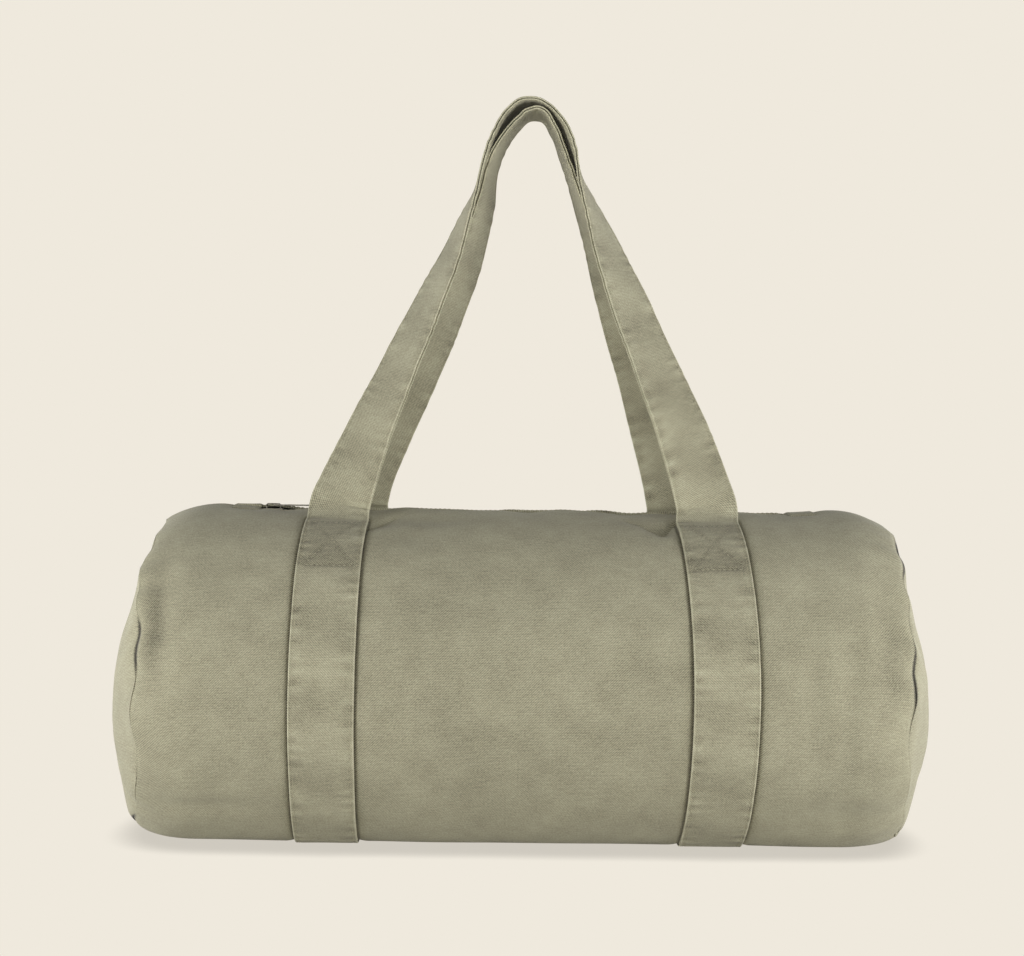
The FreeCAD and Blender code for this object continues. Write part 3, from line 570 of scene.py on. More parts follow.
for end, end_name in ENDS:
    end_cloth, ring_cut, around_cut = cloth_cut(f"end_cloth_{end_name}", 52, 320)
    turn = (2 * around_cut - 1) * math.pi
    ring = 1 - (1 - ring_cut) ** 1.7
    rim = seam_rim(turn, end)
    from_rim = (1 - ring) * PANEL_RADIUS
    fullness = END_FULLNESS[end] - 1.7 * ring * smooth_step(0.2, 0.9, -np.cos(turn))
    roll = RIM_ROLL * seam_depth(turn, end) * (1 - np.exp(-from_rim / 0.0035)) * ring ** 4
    tucked = 1 - 0.12 * ring * smooth_step(0.35, 0.85, np.cos(turn))
    bow = END_BULGE[end] * (1 - ring ** fullness) * tucked + roll
    puckers = (pucker(turn, end) - 0.45) * np.exp(-from_rim / 0.009) * smooth_step(0.0, 0.003, from_rim)
    bow = bow + 0.0010 * puckers
    place_across, place_up = np.sin(turn) * ring, -np.cos(turn) * ring
    bow = bow + 0.0012 * swell(0.10 * place_across, 1.6 * place_up, 1.6 * place_across)
    if end == RIGHT:
        low_dent = np.exp(-((turn + 0.95) / 0.22) ** 2) * np.exp(-((from_rim - 0.016) / 0.018) ** 2)
        bow = bow - 0.0028 * low_dent
    points = np.empty((len(turn), 3))
    stray = seam_wander(turn, end)
    drawn = end * rim[:, 0] - SEAM_X - stray
    points[:, 0] = end * (SEAM_X + bow + drawn * ring ** 1.5 + stray * np.exp(-from_rim / 0.008))
    points[:, 1] = rim[:, 1] * ring
    points[:, 2] = AXIS_HEIGHT + (rim[:, 2] - AXIS_HEIGHT) * ring - CENTRE_SAG * (1 - ring ** 2)
    flat = PANEL_RADIUS * ring[:, None] * np.stack((np.sin(turn), -np.cos(turn)), axis=-1)
    shape_cloth(end_cloth, points, flat)
    tidy_mesh(end_cloth)
    thicken(end_cloth, CLOTH_THICKNESS)
    end_cloth.data.materials.append(body_twill)
    set_tone(end_cloth, lambda across, up: panel_painted_shade(across, up, end))
    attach(end_cloth, "barrel")
    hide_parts(f"end_panel_{end_name}")


# Seam bindings
# Inside the bag, the turnings of both cloths at each end seam are bound with a folded cotton tape.
# The tape runs once round the seam.
BINDING_THICKNESS = 0.0006
BINDING_RADIUS = 0.108
BINDING_FOLD_STEP = 0.0025

# The folded tape's section in millimetres: distance in from the end seam, and distance in from the cloth
BINDING_FOLD = np.array((
    (0.8, 2.6), (0.8, 5.4), (1.2, 8.6), (2.4, 9.6), (3.8, 9.4), (4.8, 8.4), (5.0, 5.4), (5.0, 2.6),
))


def cotton_tape(name, dark, middle, pale, pitch):
    """Woven cotton tape with fine cross ribs."""
    material, tree, shader = new_material(name, 0.85, Sheen_Weight=0.08)
    cut = socket_of(tree, "ShaderNodeUVMap", uv_map="cut")
    rib = ribs(tree, cut, pitch, "X", 0.4)
    rows = ribs(tree, cut, 1.4 * pitch, "DIAGONAL", 0.5)
    yarn = pattern(tree, cut, 900.0, 2.0)
    tone = add_parts(tree, 0.5, ((rib, 0.35), (rows, 0.30), (yarn, 0.60)))
    set_colours(tree, shader, tone, dark, middle, pale)
    set_relief(tree, shader, add_parts(tree, 0.5, ((rib, 0.6), (rows, 0.4), (yarn, 0.5))), 0.35, 0.0003)
    return material


binding_tape = cotton_tape("binding_tape", (84, 80, 64), (112, 107, 87), (140, 135, 112), 0.0008)
for end, end_name in ENDS:
    binding, around_cut, fold_cut = cloth_cut(f"binding_{end_name}", 180, len(BINDING_FOLD) - 1)
    turn = (2 * around_cut - 1) * math.pi
    fold = np.rint(fold_cut * (len(BINDING_FOLD) - 1)).astype(int)
    inset_x, inset = BINDING_FOLD[fold].T / 1000
    rim = seam_rim(turn, end)
    from_axis = rim[:, 1:] - (0.0, AXIS_HEIGHT)
    shrink = 1 - inset / np.linalg.norm(from_axis, axis=1)
    points = np.empty((len(turn), 3))
    points[:, 0] = rim[:, 0] - end * inset_x
    points[:, 1:] = from_axis * shrink[:, None] + (0.0, AXIS_HEIGHT)
    flat = np.stack((turn * BINDING_RADIUS, fold * BINDING_FOLD_STEP), axis=-1)
    shape_cloth(binding, points, flat)
    tidy_mesh(binding)
    thicken(binding, BINDING_THICKNESS)
    binding.data.materials.append(binding_tape)
    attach(binding, "barrel")
    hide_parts(f"seam_binding_{end_name}")


# Zip
# A coil zip closes the mouth. Each woven tape is sewn under a cloth edge with one row of stitches and
# carries a nylon coil. A metal slider with a flat pull runs between small metal stops.
STITCH_PITCH = 0.0034
TAPE_TOP = 0.2322
TAPE_EDGES = (0.0012, 0.0140)
TAPE_HALF_LENGTH = 0.204
TAPE_THICKNESS = 0.0007
COIL_PITCH = 0.0020
COIL_ENDS = (-0.1810, 0.1905)
HEM_ROW = 0.0042
HEM_HALF_LENGTH = 0.190

# One turn of the coil as a bent bar, in millimetres: distance from the zip's middle, height over the tape,
# and half thickness
COIL_TURN = (
    (3.1, 0.20, 0.20), (2.6, 0.85, 0.34), (1.7, 1.35, 0.38),
    (0.8, 1.45, 0.40), (0.05, 1.15, 0.44), (-0.05, 0.60, 0.34),
)

# One stitch of thread in millimetres, as a bar that dips into the cloth at both ends: place along it,
# half thickness and lift
STITCH_BAR = (
    (-1.35, 0.13, -0.22), (-0.85, 0.25, 0.04), (0.0, 0.27, 0.11), (0.85, 0.25, 0.04), (1.35, 0.13, -0.22),
)


def bar_faces(rows, corners):
    """The faces of a closed bar whose rows have so many corners each."""
    faces = []
    for row in range(rows - 1):
        for corner in range(corners):
            here, beside = corners * row + corner, corners * row + (corner + 1) % corners
            faces.append((here, beside, beside + corners, here + corners))
    last = corners * (rows - 1)
    return faces + [tuple(range(corners - 1, -1, -1)), tuple(range(last, last + corners))]


def bar_points(middles, thicknesses, sideways, up, corners=6):
    """The points of a bar along a line of middles, round it by half its thickness."""
    points = []
    for middle, thick in zip(middles, thicknesses):
        for corner in range(corners):
            angle = 2 * math.pi * corner / corners
            points.append(middle + thick * (math.cos(angle) * sideways + math.sin(angle) * up))
    return points


def join_rows(rows):
    """Several lots of points and faces as one."""
    points, faces, count = [], [], 0
    for row_points, row_faces in rows:
        faces += [tuple(count + corner for corner in face) for face in row_faces]
        points.append(np.asarray(row_points))
        count += len(row_points)
    return np.vstack(points), faces


def mesh_piece(name, points, faces):
    """A new piece from its points and faces."""
    mesh = bpy.data.meshes.new(name)
    mesh.from_pydata(np.asarray(points).tolist(), [], faces)
    piece = bpy.data.objects.new(name, mesh)
    bpy.context.scene.collection.objects.link(piece)
    return piece


def unit(vectors):
    """The vectors, each one long."""
    return vectors / np.linalg.norm(vectors, axis=-1)[..., None]


def stitch_row(surface, start, stop, lift):
    """Stitches in a straight row on a surface, between two places on its flat cut."""
    start, stop = np.asarray(start, float), np.asarray(stop, float)
    reach = np.linalg.norm(stop - start)
    count = max(2, int(reach / STITCH_PITCH))
    share = ((np.arange(count) + 0.5) / count)[:, None]
    row = start + (stop - start) * share
    ahead = row + (stop - start) / reach * 0.001
    places = surface(row[:, 0], row[:, 1], lift)
    along = unit(surface(ahead[:, 0], ahead[:, 1], lift) - places)
    out = surface(row[:, 0], row[:, 1], 1.5 * lift) - places
    out = unit(out - along * (out * along).sum(axis=1)[:, None])
    faces = bar_faces(len(STITCH_BAR), 6)
    stitches = []
    for place, ahead, up in zip(places, along, out):
        middles = [place + (step * ahead + rise * up) / 1000 for step, _, rise in STITCH_BAR]
        thicknesses = [thick / 1000 for _, thick, _ in STITCH_BAR]
        stitches.append((bar_points(middles, thicknesses, np.cross(up, ahead), up), faces))
    return join_rows(stitches)


def body_top(x, from_middle, lift):
    """Places over the body cloth near the zip, at a signed distance from the zip's middle."""
    points = np.empty((len(x), 3))
    for side in (FRONT, REAR):
        on_side = (from_middle < 0) == (side == FRONT)
        turn = math.pi - np.abs(from_middle[on_side]) / BARREL_RADIUS
        points[on_side] = barrel_surface(x[on_side], turn, side)
    outwards = unit(points[:, 1:] - (0.0, AXIS_HEIGHT))
    points[:, 1:] += outwards * np.reshape(lift, (-1, 1))
    return points


def own_place(tree):
    """Each point's place in its object's own frame."""
    return socket_of(tree, "ShaderNodeTexCoord", output=3)


def sewing_thread(name):
    """Twisted cotton thread, close to the cloth in colour."""
    material, tree, shader = new_material(name, 0.80, Sheen_Weight=0.08)
    fleck = pattern(tree, own_place(tree), 900.0)
    set_colours(tree, shader, fleck, (128, 123, 102), (158, 153, 129), (184, 179, 155))
    set_relief(tree, shader, fleck, 0.4, 0.0002)
    return material


def worn_metal(name, dark, middle, pale):
    """Dull dark metal, rubbed brighter in small spots."""
    material, tree, shader = new_material(name, 0.42, Metallic=1.0)
    place = own_place(tree)
    rub = pattern(tree, place, 420.0, 4.0, 0.65)
    set_colours(tree, shader, rub, dark, middle, pale)
    polish = moved_range(tree, rub, (0.3, 0.7), (0.52, 0.30))
    tree.links.new(polish, shader.inputs["Roughness"])
    set_relief(tree, shader, pattern(tree, place, 1500.0), 0.12, 0.0001)
    return material


def coil_nylon(name):
    """Dark nylon with a dull shine."""
    material, tree, shader = new_material(name, 0.38)
    mottle = pattern(tree, own_place(tree), 600.0)
    set_colours(tree, shader, mottle, (38, 37, 31), (50, 48, 40), (64, 62, 52))
    return material


def face_up(piece):
    """Turns a sheet that lies over the zip so that its outer side is up."""
    if piece.data.polygons[0].normal.z < 0:
        piece.data.flip_normals()


zip_tape_cloth = cotton_tape("zip_tape_cloth", (46, 44, 35), (64, 61, 49), (84, 81, 66), 0.0009)
zip_coil_nylon = coil_nylon("zip_coil_nylon")
zip_metal = worn_metal("zip_metal", (74, 72, 66), (104, 101, 93), (140, 136, 126))
thread = sewing_thread("sewing_thread")
for side, side_name in SIDES:
    tape, along_cut, across_cut = cloth_cut(f"tape_{side_name}", 140, 8)
    from_middle = TAPE_EDGES[0] + across_cut * (TAPE_EDGES[1] - TAPE_EDGES[0])
    x = (2 * along_cut - 1) * TAPE_HALF_LENGTH
    height = TAPE_TOP - from_middle ** 2 / 0.24 + 0.0002 * np.sin(90 * x + 300 * from_middle)
    shape_cloth(tape, np.stack((x, side * from_middle, height), axis=-1), np.stack((x, from_middle), axis=-1))
    tidy_mesh(tape, merge=False)
    face_up(tape)
    thicken(tape, TAPE_THICKNESS)
    tape.data.materials.append(zip_tape_cloth)
    follow_mouth(tape)
    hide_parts(f"zip_tape_{side_name}")

    turns = []
    coil_start = COIL_ENDS[0] + (0.5 * COIL_PITCH if side == REAR else 0.0)
    for place in np.arange(coil_start, COIL_ENDS[1], COIL_PITCH):
        middles = [np.array((place, side * y / 1000, TAPE_TOP + z / 1000)) for y, z, _ in COIL_TURN]
        thicknesses = [thick / 1000 for _, _, thick in COIL_TURN]
        upright = np.array((0.0, 0.3 * side, 0.95))
        points = bar_points(middles, thicknesses, np.array((1.0, 0.0, 0.0)), upright)
        turns.append((points, bar_faces(len(COIL_TURN), 6)))
    coil = mesh_piece(f"coil_{side_name}", *join_rows(turns))
    tidy_mesh(coil, merge=False)
    coil.data.materials.append(zip_coil_nylon)
    follow_mouth(coil)
    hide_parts(f"zip_coil_{side_name}")

    hem_place = side * (ZIP_EDGE + HEM_ROW)
    hem_start, hem_stop = (-HEM_HALF_LENGTH, hem_place), (HEM_HALF_LENGTH, hem_place)
    hem_stitches = mesh_piece(f"hem_stitches_{side_name}", *stitch_row(body_top, hem_start, hem_stop, 0.0001))
    tidy_mesh(hem_stitches, merge=False)
    hem_stitches.data.materials.append(thread)
    follow_mouth(hem_stitches)


def box_solid(name, low, high):
    """A box between two corners, in its place."""
    low, high = np.asarray(low), np.asarray(high)
    bpy.ops.object.select_all(action="DESELECT")
    bpy.ops.mesh.primitive_cube_add(size=1.0, location=(low + high) / 2, scale=high - low)
    bpy.ops.object.transform_apply(location=True, rotation=True, scale=True)
    piece = bpy.context.object
    piece.name = piece.data.name = name
    return piece


def narrow_end(piece, beyond_x, share):
    """Draws in the end of a bar that lies beyond a place along the zip."""
    for corner in piece.data.vertices:
        if corner.co.x > beyond_x:
            corner.co.y *= share


def join_pieces(parts):
    """Joins parts into the first one."""
    bpy.ops.object.select_all(action="DESELECT")
    for part in parts:
        part.select_set(True)
    bpy.context.view_layer.objects.active = parts[0]
    bpy.ops.object.join()
    return parts[0]


def finish_metal(piece, bevel):
    """Rounds the edges of a metal piece and gives it its finish."""
    tidy_mesh(piece, merge=False)
    apply_modifier(piece, "BEVEL", width=bevel, segments=2, limit_method="ANGLE")
    tidy_mesh(piece, merge=False, smooth_angle=0.9)
    piece.data.materials.append(zip_metal)


def rounded_loop(low, high, corner, steps=5):
    """Points once round a flat box with rounded corners."""
    points = []
    corners = ((high[0], high[1]), (low[0], high[1]), (low[0], low[1]), (high[0], low[1]))
    for (x, y), start in zip(corners, (0, 90, 180, 270)):
        middle_x = x - math.copysign(corner, x - (low[0] + high[0]) / 2)
        middle_y = y - math.copysign(corner, y - (low[1] + high[1]) / 2)
        for step in range(steps + 1):
            angle = math.radians(start + 90 * step / steps)
            points.append((middle_x + corner * math.cos(angle), middle_y + corner * math.sin(angle)))
    return points


def flat_ring(name, outer, inner, place):
    """A flat ring between two loops with as many points each. place puts a loop's point in space."""
    count = len(outer)
    points = [place(*point) for point in outer + inner]
    faces = [(k, (k + 1) % count, count + (k + 1) % count, count + k) for k in range(count)]
    return mesh_piece(name, points, faces)


for side, side_name in SIDES:
    near, far = sorted((side * 0.0012, side * 0.0031))
    top_stop = box_solid(f"top_stop_{side_name}", (-0.1940, near, 0.2312), (-0.1910, far, 0.2342))
    finish_metal(top_stop, 0.0005)
    follow_mouth(top_stop)
    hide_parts(f"zip_top_stop_{side_name}")

bottom_stop = box_solid("bottom_stop", (0.1935, -0.0030, 0.2320), (0.1970, 0.0030, 0.2342))
stop_rib = box_solid("stop_rib", (0.1944, -0.0009, 0.2332), (0.1961, 0.0009, 0.2356))
bottom_stop = join_pieces([bottom_stop, stop_rib])
finish_metal(bottom_stop, 0.0005)
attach(bottom_stop, "barrel")
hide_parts("zip_bottom_stop")

top_plate = box_solid("slider", (-0.1907, -0.0050, 0.2344), (-0.1767, 0.0050, 0.2356))
bottom_plate = box_solid("bottom_plate", (-0.1907, -0.0050, 0.2302), (-0.1767, 0.0050, 0.2312))
for plate in (top_plate, bottom_plate):
    narrow_end(plate, -0.180, 0.66)
nose_post = box_solid("nose_post", (-0.1898, -0.0012, 0.2308), (-0.1872, 0.0012, 0.2348))
rails = []
for side in (FRONT, REAR):
    near, far = sorted((side * 0.0040, side * 0.0049))
    rail = box_solid("rail", (-0.1900, near, 0.2334), (-0.1830, far, 0.2350))
    rails.append(rail)
# The bridge over the pull's eye, from its foot at the nose to its foot at the tail:
# place along the zip, and height
bridge_outer = (
    (-0.1895, 0.2354), (-0.1895, 0.2383), (-0.1882, 0.2394),
    (-0.1795, 0.2394), (-0.1783, 0.2384), (-0.1783, 0.2354),
)
bridge_inner = (
    (-0.1884, 0.2354), (-0.1884, 0.2381), (-0.1877, 0.2387),
    (-0.1800, 0.2387), (-0.1794, 0.2381), (-0.1794, 0.2354),
)
bridge_points = [(x, 0.0, z) for x, z in bridge_outer + bridge_inner]
bridge = mesh_piece("bridge", bridge_points, [(k, k + 1, k + 7, k + 6) for k in range(5)])
apply_modifier(bridge, "SOLIDIFY", thickness=0.0022, offset=0.0)
slider = join_pieces([top_plate, bottom_plate, nose_post, *rails, bridge])
finish_metal(slider, 0.0003)
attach(slider, "slider")
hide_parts("zip_slider")

PULL_MIDDLE_HEIGHT = 0.2380
eye_outer = rounded_loop((-0.1844, -0.0035), (-0.1745, 0.0035), 0.0012)
eye_slot = rounded_loop((-0.1831, -0.0018), (-0.1765, 0.0018), 0.0010)
pull = flat_ring("pull", eye_outer, eye_slot, lambda x, y: (x, y, PULL_MIDDLE_HEIGHT))
grip_outer = rounded_loop((-0.1752, -0.0028), (-0.1577, 0.0028), 0.0018)
grip_panel = rounded_loop((-0.1738, -0.0017), (-0.1592, 0.0017), 0.0010)
grip = flat_ring("grip", grip_outer, grip_panel, lambda x, y: (x, y, PULL_MIDDLE_HEIGHT))
for part in (pull, grip):
    apply_modifier(part, "SOLIDIFY", thickness=0.0011, offset=0.0)
panel_plate = box_solid("panel_plate", (-0.1740, -0.0019, 0.2377), (-0.1590, 0.0019, 0.2383))
pull = join_pieces([pull, grip, panel_plate])
finish_metal(pull, 0.0002)
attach(pull, "pull")
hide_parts("zip_pull")


# Zip end tabs
# A small folded patch of the body's twill covers each end of the zip, sewn down all round.
TAB_HALF_SIZE = (0.0100, 0.0176)
TAB_STITCH_SHARES = (0.78, 0.80)
TAB_THICKNESS = 0.0014
TAB_LIFT = 0.0014

for end, end_name in ENDS:
    tab, along_cut, across_cut = cloth_cut(f"zip_tab_{end_name}", 26, 40)
    from_edge = np.maximum(np.abs(2 * along_cut - 1), np.abs(2 * across_cut - 1))
    x = end * TAB_MIDDLE_X + (2 * along_cut - 1) * TAB_HALF_SIZE[0]
    from_middle = (2 * across_cut - 1) * TAB_HALF_SIZE[1]
    rolled_edge = 0.0010 * smooth_step(0.82, 1.0, from_edge)
    sewn_groove = 0.0004 * np.exp(-((from_edge - 0.78) / 0.06) ** 2)
    lift = TAB_LIFT - rolled_edge - sewn_groove
    shape_cloth(tab, body_top(x, from_middle, lift), np.stack((x, from_middle), axis=-1))
    tidy_mesh(tab, merge=False)
    face_up(tab)
    thicken(tab, TAB_THICKNESS)
    tab.data.materials.append(body_twill)
    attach(tab, "barrel")
    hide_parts(f"zip_end_tab_{end_name}")
    sewn_x, sewn_y = (half * share for half, share in zip(TAB_HALF_SIZE, TAB_STITCH_SHARES))
    near_x, far_x = end * TAB_MIDDLE_X - sewn_x, end * TAB_MIDDLE_X + sewn_x
    corners = ((near_x, -sewn_y), (far_x, -sewn_y), (far_x, sewn_y), (near_x, sewn_y))
    rows = [stitch_row(body_top, corners[k], corners[(k + 1) % 4], TAB_LIFT - 0.0003) for k in range(4)]
    tab_stitches = mesh_piece(f"tab_stitches_{end_name}", *join_rows(rows))
    tidy_mesh(tab_stitches, merge=False)
    tab_stitches.data.materials.append(thread)
    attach(tab_stitches, "barrel")


# Straps and handles
# Each side has one long band of twill, folded to 44 mm and stitched along both edges. It starts under the
# base, is sewn up the body, stands up as the handle and comes down again. It is cut into pieces here only
# where it goes over to another moving body.
STRAP_STEP = 0.0014
STITCH_INSET = 0.0026
EDGE_LIFT = 0.00105
FACE_LIFT = 0.00128
RUN_TOP_TURN = math.radians(158)
BOX_TURNS = (math.radians(132), math.radians(155.5))
LEG_CUT_HEIGHT = 0.285
LEAN_FOOT, LEAN_TOP = 0.0335, 0.0015
FOLD_HEIGHT = 0.2356

# Up the left leg, over the top and down the right one: height, place along the bag, and turn from facing out
FRONT_HANDLE = (
    (0.2390, -0.1318, 7), (0.2510, -0.1278, 18), (0.2900, -0.1130, 37), (0.3350, -0.0936, 49),
    (0.3780, -0.0748, 57), (0.4210, -0.0560, 68), (0.4600, -0.0418, 81), (0.4860, -0.0322, 91),
    (0.5090, -0.0234, 95), (0.5250, -0.0140, 95), (0.5338, -0.0028, 93), (0.5338, 0.0082, 91),
    (0.5195, 0.0236, 94), (0.5040, 0.0304, 96), (0.4720, 0.0428, 79), (0.4330, 0.0576, 62),
    (0.3940, 0.0731, 49), (0.3450, 0.0933, 41), (0.2950, 0.1140, 28), (0.2510, 0.1286, 13),
    (0.2390, 0.1318, 6),
)
REAR_HANDLE = (
    (0.2390, -0.1243, 7), (0.2510, -0.1217, 16), (0.2960, -0.1018, 36), (0.3390, -0.0793, 50),
    (0.3835, -0.0583, 60), (0.4270, -0.0408, 69), (0.4640, -0.0308, 76), (0.4900, -0.0258, 82),
    (0.5090, -0.0172, 87), (0.5210, -0.0080, 89), (0.5285, 0.0015, 90), (0.5290, 0.0085, 90),
    (0.5155, 0.0200, 90), (0.4990, 0.0266, 88), (0.4655, 0.0384, 86), (0.4285, 0.0520, 76),
    (0.3835, 0.0710, 52), (0.3400, 0.0875, 38), (0.2950, 0.1012, 28), (0.2510, 0.1136, 14),
    (0.2390, 0.1158, 7),
)

# Half of the band's section: place from its middle and height over the middle face, to the double folded edge
SECTION_HALF = (
    (0.0, 1.26), (2.4, 1.26), (4.8, 1.27), (7.2, 1.28), (9.6, 1.29), (12.0, 1.30), (14.4, 1.30), (16.5, 1.29),
    (18.2, 1.22), (19.0, 1.08), (19.4, 1.02), (19.9, 1.10), (20.7, 1.34), (21.4, 1.38), (21.85, 1.18),
    (22.0, 0.85), (21.8, 0.50), (21.0, 0.24), (19.8, 0.0),
)


def body_strap_places(side, end):
    """Places on the body from the base up to where the handle starts, each with the way the strap faces."""
    turns = np.linspace(0.0, 2.80, 27)
    middle = strap_middle(turns, side, end)
    on_cloth = barrel_surface(middle, turns, side)
    step = barrel_surface(middle, turns + 0.02, side) - barrel_surface(middle, turns - 0.02, side)
    upwards = -np.abs(step[:, 1]) * np.sign(np.cos(turns))
    out = unit(np.stack((np.zeros_like(turns), step[:, 2] * side, upwards), axis=-1))
    return on_cloth + out * (STRAP_THICKNESS / 2 - 0.0002), out, turns


def smooth_through(knots, values, places):
    """A smooth line through values that are given at knots, read at places."""
    gap = np.diff(knots)[:, None]
    slope = np.diff(values, axis=0) / gap
    inner = (slope[:-1] * gap[1:] + slope[1:] * gap[:-1]) / (gap[:-1] + gap[1:])
    slopes = np.vstack((slope[:1], inner, slope[-1:]))
    index = np.clip(np.searchsorted(knots, places, side="right") - 1, 0, len(knots) - 2)
    share = ((places - knots[index]) / gap[index, 0])[:, None]
    rest = 1 - share
    start = values[index] * (1 + 2 * share) + slopes[index] * gap[index] * share
    stop = values[index + 1] * (1 + 2 * rest) - slopes[index + 1] * gap[index] * rest
    return start * rest ** 2 + stop * share ** 2


def chord_lengths(points):
    """The length so far at each of a line's points."""
    return np.concatenate(([0.0], np.cumsum(np.linalg.norm(np.diff(points, axis=0), axis=1))))


def strap_line(side, handle):
    """The whole band's middle line at even steps, with its width and face directions,
    its length so far and its turn on the body."""
    left, left_out, turns = body_strap_places(side, LEFT)
    right, right_out, _ = body_strap_places(side, RIGHT)
    height, x, twist = np.asarray(handle).T
    lean = LEAN_FOOT + (LEAN_TOP - LEAN_FOOT) * (height - FOLD_HEIGHT) / (height.max() - FOLD_HEIGHT)
    standing = np.stack((x, side * lean, height), axis=-1)
    face = np.tile((0.0, side, 0.0), (len(handle), 1))
    points = np.vstack((left, standing, right[::-1]))
    facing = np.vstack((left_out, face, right_out[::-1]))
    turned = np.concatenate((0 * turns, twist, 0 * turns))
    on_body = np.concatenate((turns, np.full(len(handle), math.pi), turns[::-1]))
    knots = chord_lengths(points)
    values = np.column_stack((points, facing, turned))
    fine = np.linspace(0, knots[-1], 6000)
    length = chord_lengths(smooth_through(knots, values, fine)[:, :3])
    even = np.linspace(0, length[-1], int(length[-1] / STRAP_STEP))
    places = np.interp(even, length, fine)
    smooth = smooth_through(knots, values, places)
    line = smooth[:, :3]
    along = unit(np.gradient(line, axis=0))
    out = smooth[:, 3:6] - along * (smooth[:, 3:6] * along).sum(axis=1)[:, None]
    out = unit(out)
    inward = np.cross(along, out) * -side
    angle = np.radians(smooth[:, 6:7])
    return {
        "line": line,
        "width": inward * np.cos(angle) + out * np.sin(angle),
        "out": out * np.cos(angle) - inward * np.sin(angle),
        "length": even,
        "turn": np.interp(places, knots, on_body),
    }


def gathers(across, length):
    """The stitched edges draw up in the wash into short cross wrinkles."""
    to_edge = np.clip(STRAP_HALF_WIDTH - np.abs(across), 0.0, None)
    start = np.where(across < 0, 0.0, 2.4)
    wave = np.sin(560 * length + 2.6 * np.sin(83 * length + start) + start)
    wave = wave * (0.5 + 0.5 * np.sin(131 * length + 2 * start))
    reach = np.exp(-to_edge / 0.007) * (0.3 + 0.7 * smooth_step(0.0, 0.004, to_edge))
    slow = np.sin(118 * length + 1.5 + 40 * across)
    return 0.00070 * reach * wave + 0.00022 * slow


def in_box(length, low, high):
    """1 on the stretch of strap that is sewn down with a boxed cross."""
    low, high = min(low, high) - 0.002, max(low, high) + 0.002
    begun = smooth_step(low - 0.002, low + 0.002, length)
    ended = smooth_step(high - 0.002, high + 0.002, length)
    return begun * (1 - ended)


def box_dips(across, length, boxes):
    """1 along the sewn lines of each boxed cross, where the thread pulls the strap down."""
    half = STRAP_HALF_WIDTH - 2 * STITCH_INSET
    dips = 0.0
    for low, high in boxes:
        share = (length - low) / (high - low)
        slope = 2 * half / abs(high - low)
        rising = np.abs(across + half - 2 * half * share) / math.hypot(1.0, slope)
        falling = np.abs(across - half + 2 * half * share) / math.hypot(1.0, slope)
        nearest = np.minimum.reduce((np.abs(length - low), np.abs(length - high), rising, falling))
        sewn = (share > -0.08) & (share < 1.08) & (np.abs(across) < half + 0.001)
        dips = dips + sewn * np.exp(-(nearest / 0.0011) ** 2)
    return dips


def box_swells(across, length, boxes):
    """The uneven puffing of the cloth between the sewn lines, from -1 to 1."""
    sewn = sum(in_box(length, *box) for box in boxes)
    wave_across = np.sin(610 * across + 1.9 * np.sin(300 * length))
    wave_along = np.sin(640 * length + 2.0 * np.sin(350 * across))
    return sewn * wave_across * wave_along


def surface_of(band):
    """The band's surface: places across and along it, at a lift over its middle face."""
    def on_strap(across, length, lift):
        def read(key):
            return np.stack([np.interp(length, band["length"], band[key][:, k]) for k in range(3)], axis=-1)
        raised = lift + gathers(across, length) + 0.00030 * box_swells(across, length, band["boxes"])
        raised = raised - 0.00060 * box_dips(across, length, band["boxes"])
        return read("line") + read("width") * across[:, None] + read("out") * raised[:, None]
    return on_strap


def strap_section():
    """The band's closed section, in metres, once round."""
    upper = [(-across, height) for across, height in SECTION_HALF[:0:-1]] + list(SECTION_HALF)
    lower = [(across, -height) for across, height in upper[-2:0:-1]]
    return np.asarray(upper + lower) / 1000


def strap_tone(band, across, length):
    """Darker where a box is sewn, with painted shade in the dips along its lines, and painted light on the
    ridges and painted shade in the troughs of the gathers.
    """
    sewn = sum(in_box(length, *box) for box in band["boxes"])
    return 260.0 * gathers(across, length) - 0.09 * sewn - 0.14 * box_dips(across, length, band["boxes"])


def strap_piece(name, band, first, last, rows):
    """One piece of the band between two places on its length, with its stitches."""
    section = strap_section()
    inside = (band["length"] > first + STRAP_STEP / 4) & (band["length"] < last - STRAP_STEP / 4)
    lengths = np.concatenate(([first], band["length"][inside], [last]))
    across = np.tile(section[:, 0], len(lengths))
    lift = np.tile(section[:, 1], len(lengths))
    length = np.repeat(lengths, len(section))
    cloth = (surface_of(band)(across, length, lift), bar_faces(len(lengths), len(section)))
    points, faces = join_rows([cloth, *rows])
    flat = np.zeros((len(points), 2))
    flat[:len(across)] = np.stack((across, length), axis=-1)
    piece = mesh_piece(name, points, faces)
    set_cut_map(piece, flat)
    tidy_mesh(piece, merge=False)
    piece.data.materials.append(strap_twill)
    piece.data.materials.append(thread)
    slots = np.ones(len(faces), np.int32)
    slots[:len(cloth[1])] = 0
    piece.data.polygons.foreach_set("material_index", slots)
    set_tone(piece, lambda across, length: strap_tone(band, across, length))
    return piece


def edge_rows(band, first, last, both_faces):
    """Stitches along both edges of the band."""
    inset = STRAP_HALF_WIDTH - STITCH_INSET
    lifts = (EDGE_LIFT, -EDGE_LIFT) if both_faces else (EDGE_LIFT,)
    rows = []
    for edge in (-inset, inset):
        for lift in lifts:
            rows.append(stitch_row(surface_of(band), (edge, first), (edge, last), lift))
    return rows


def box_rows(band, low, high):
    """The boxed cross that holds the strap's end."""
    half = STRAP_HALF_WIDTH - 2 * STITCH_INSET
    corners = ((-half, low), (half, low), (half, high), (-half, high))
    lines = ((0, 1), (2, 3), (0, 2), (1, 3))
    return [stitch_row(surface_of(band), corners[a], corners[b], FACE_LIFT) for a, b in lines]


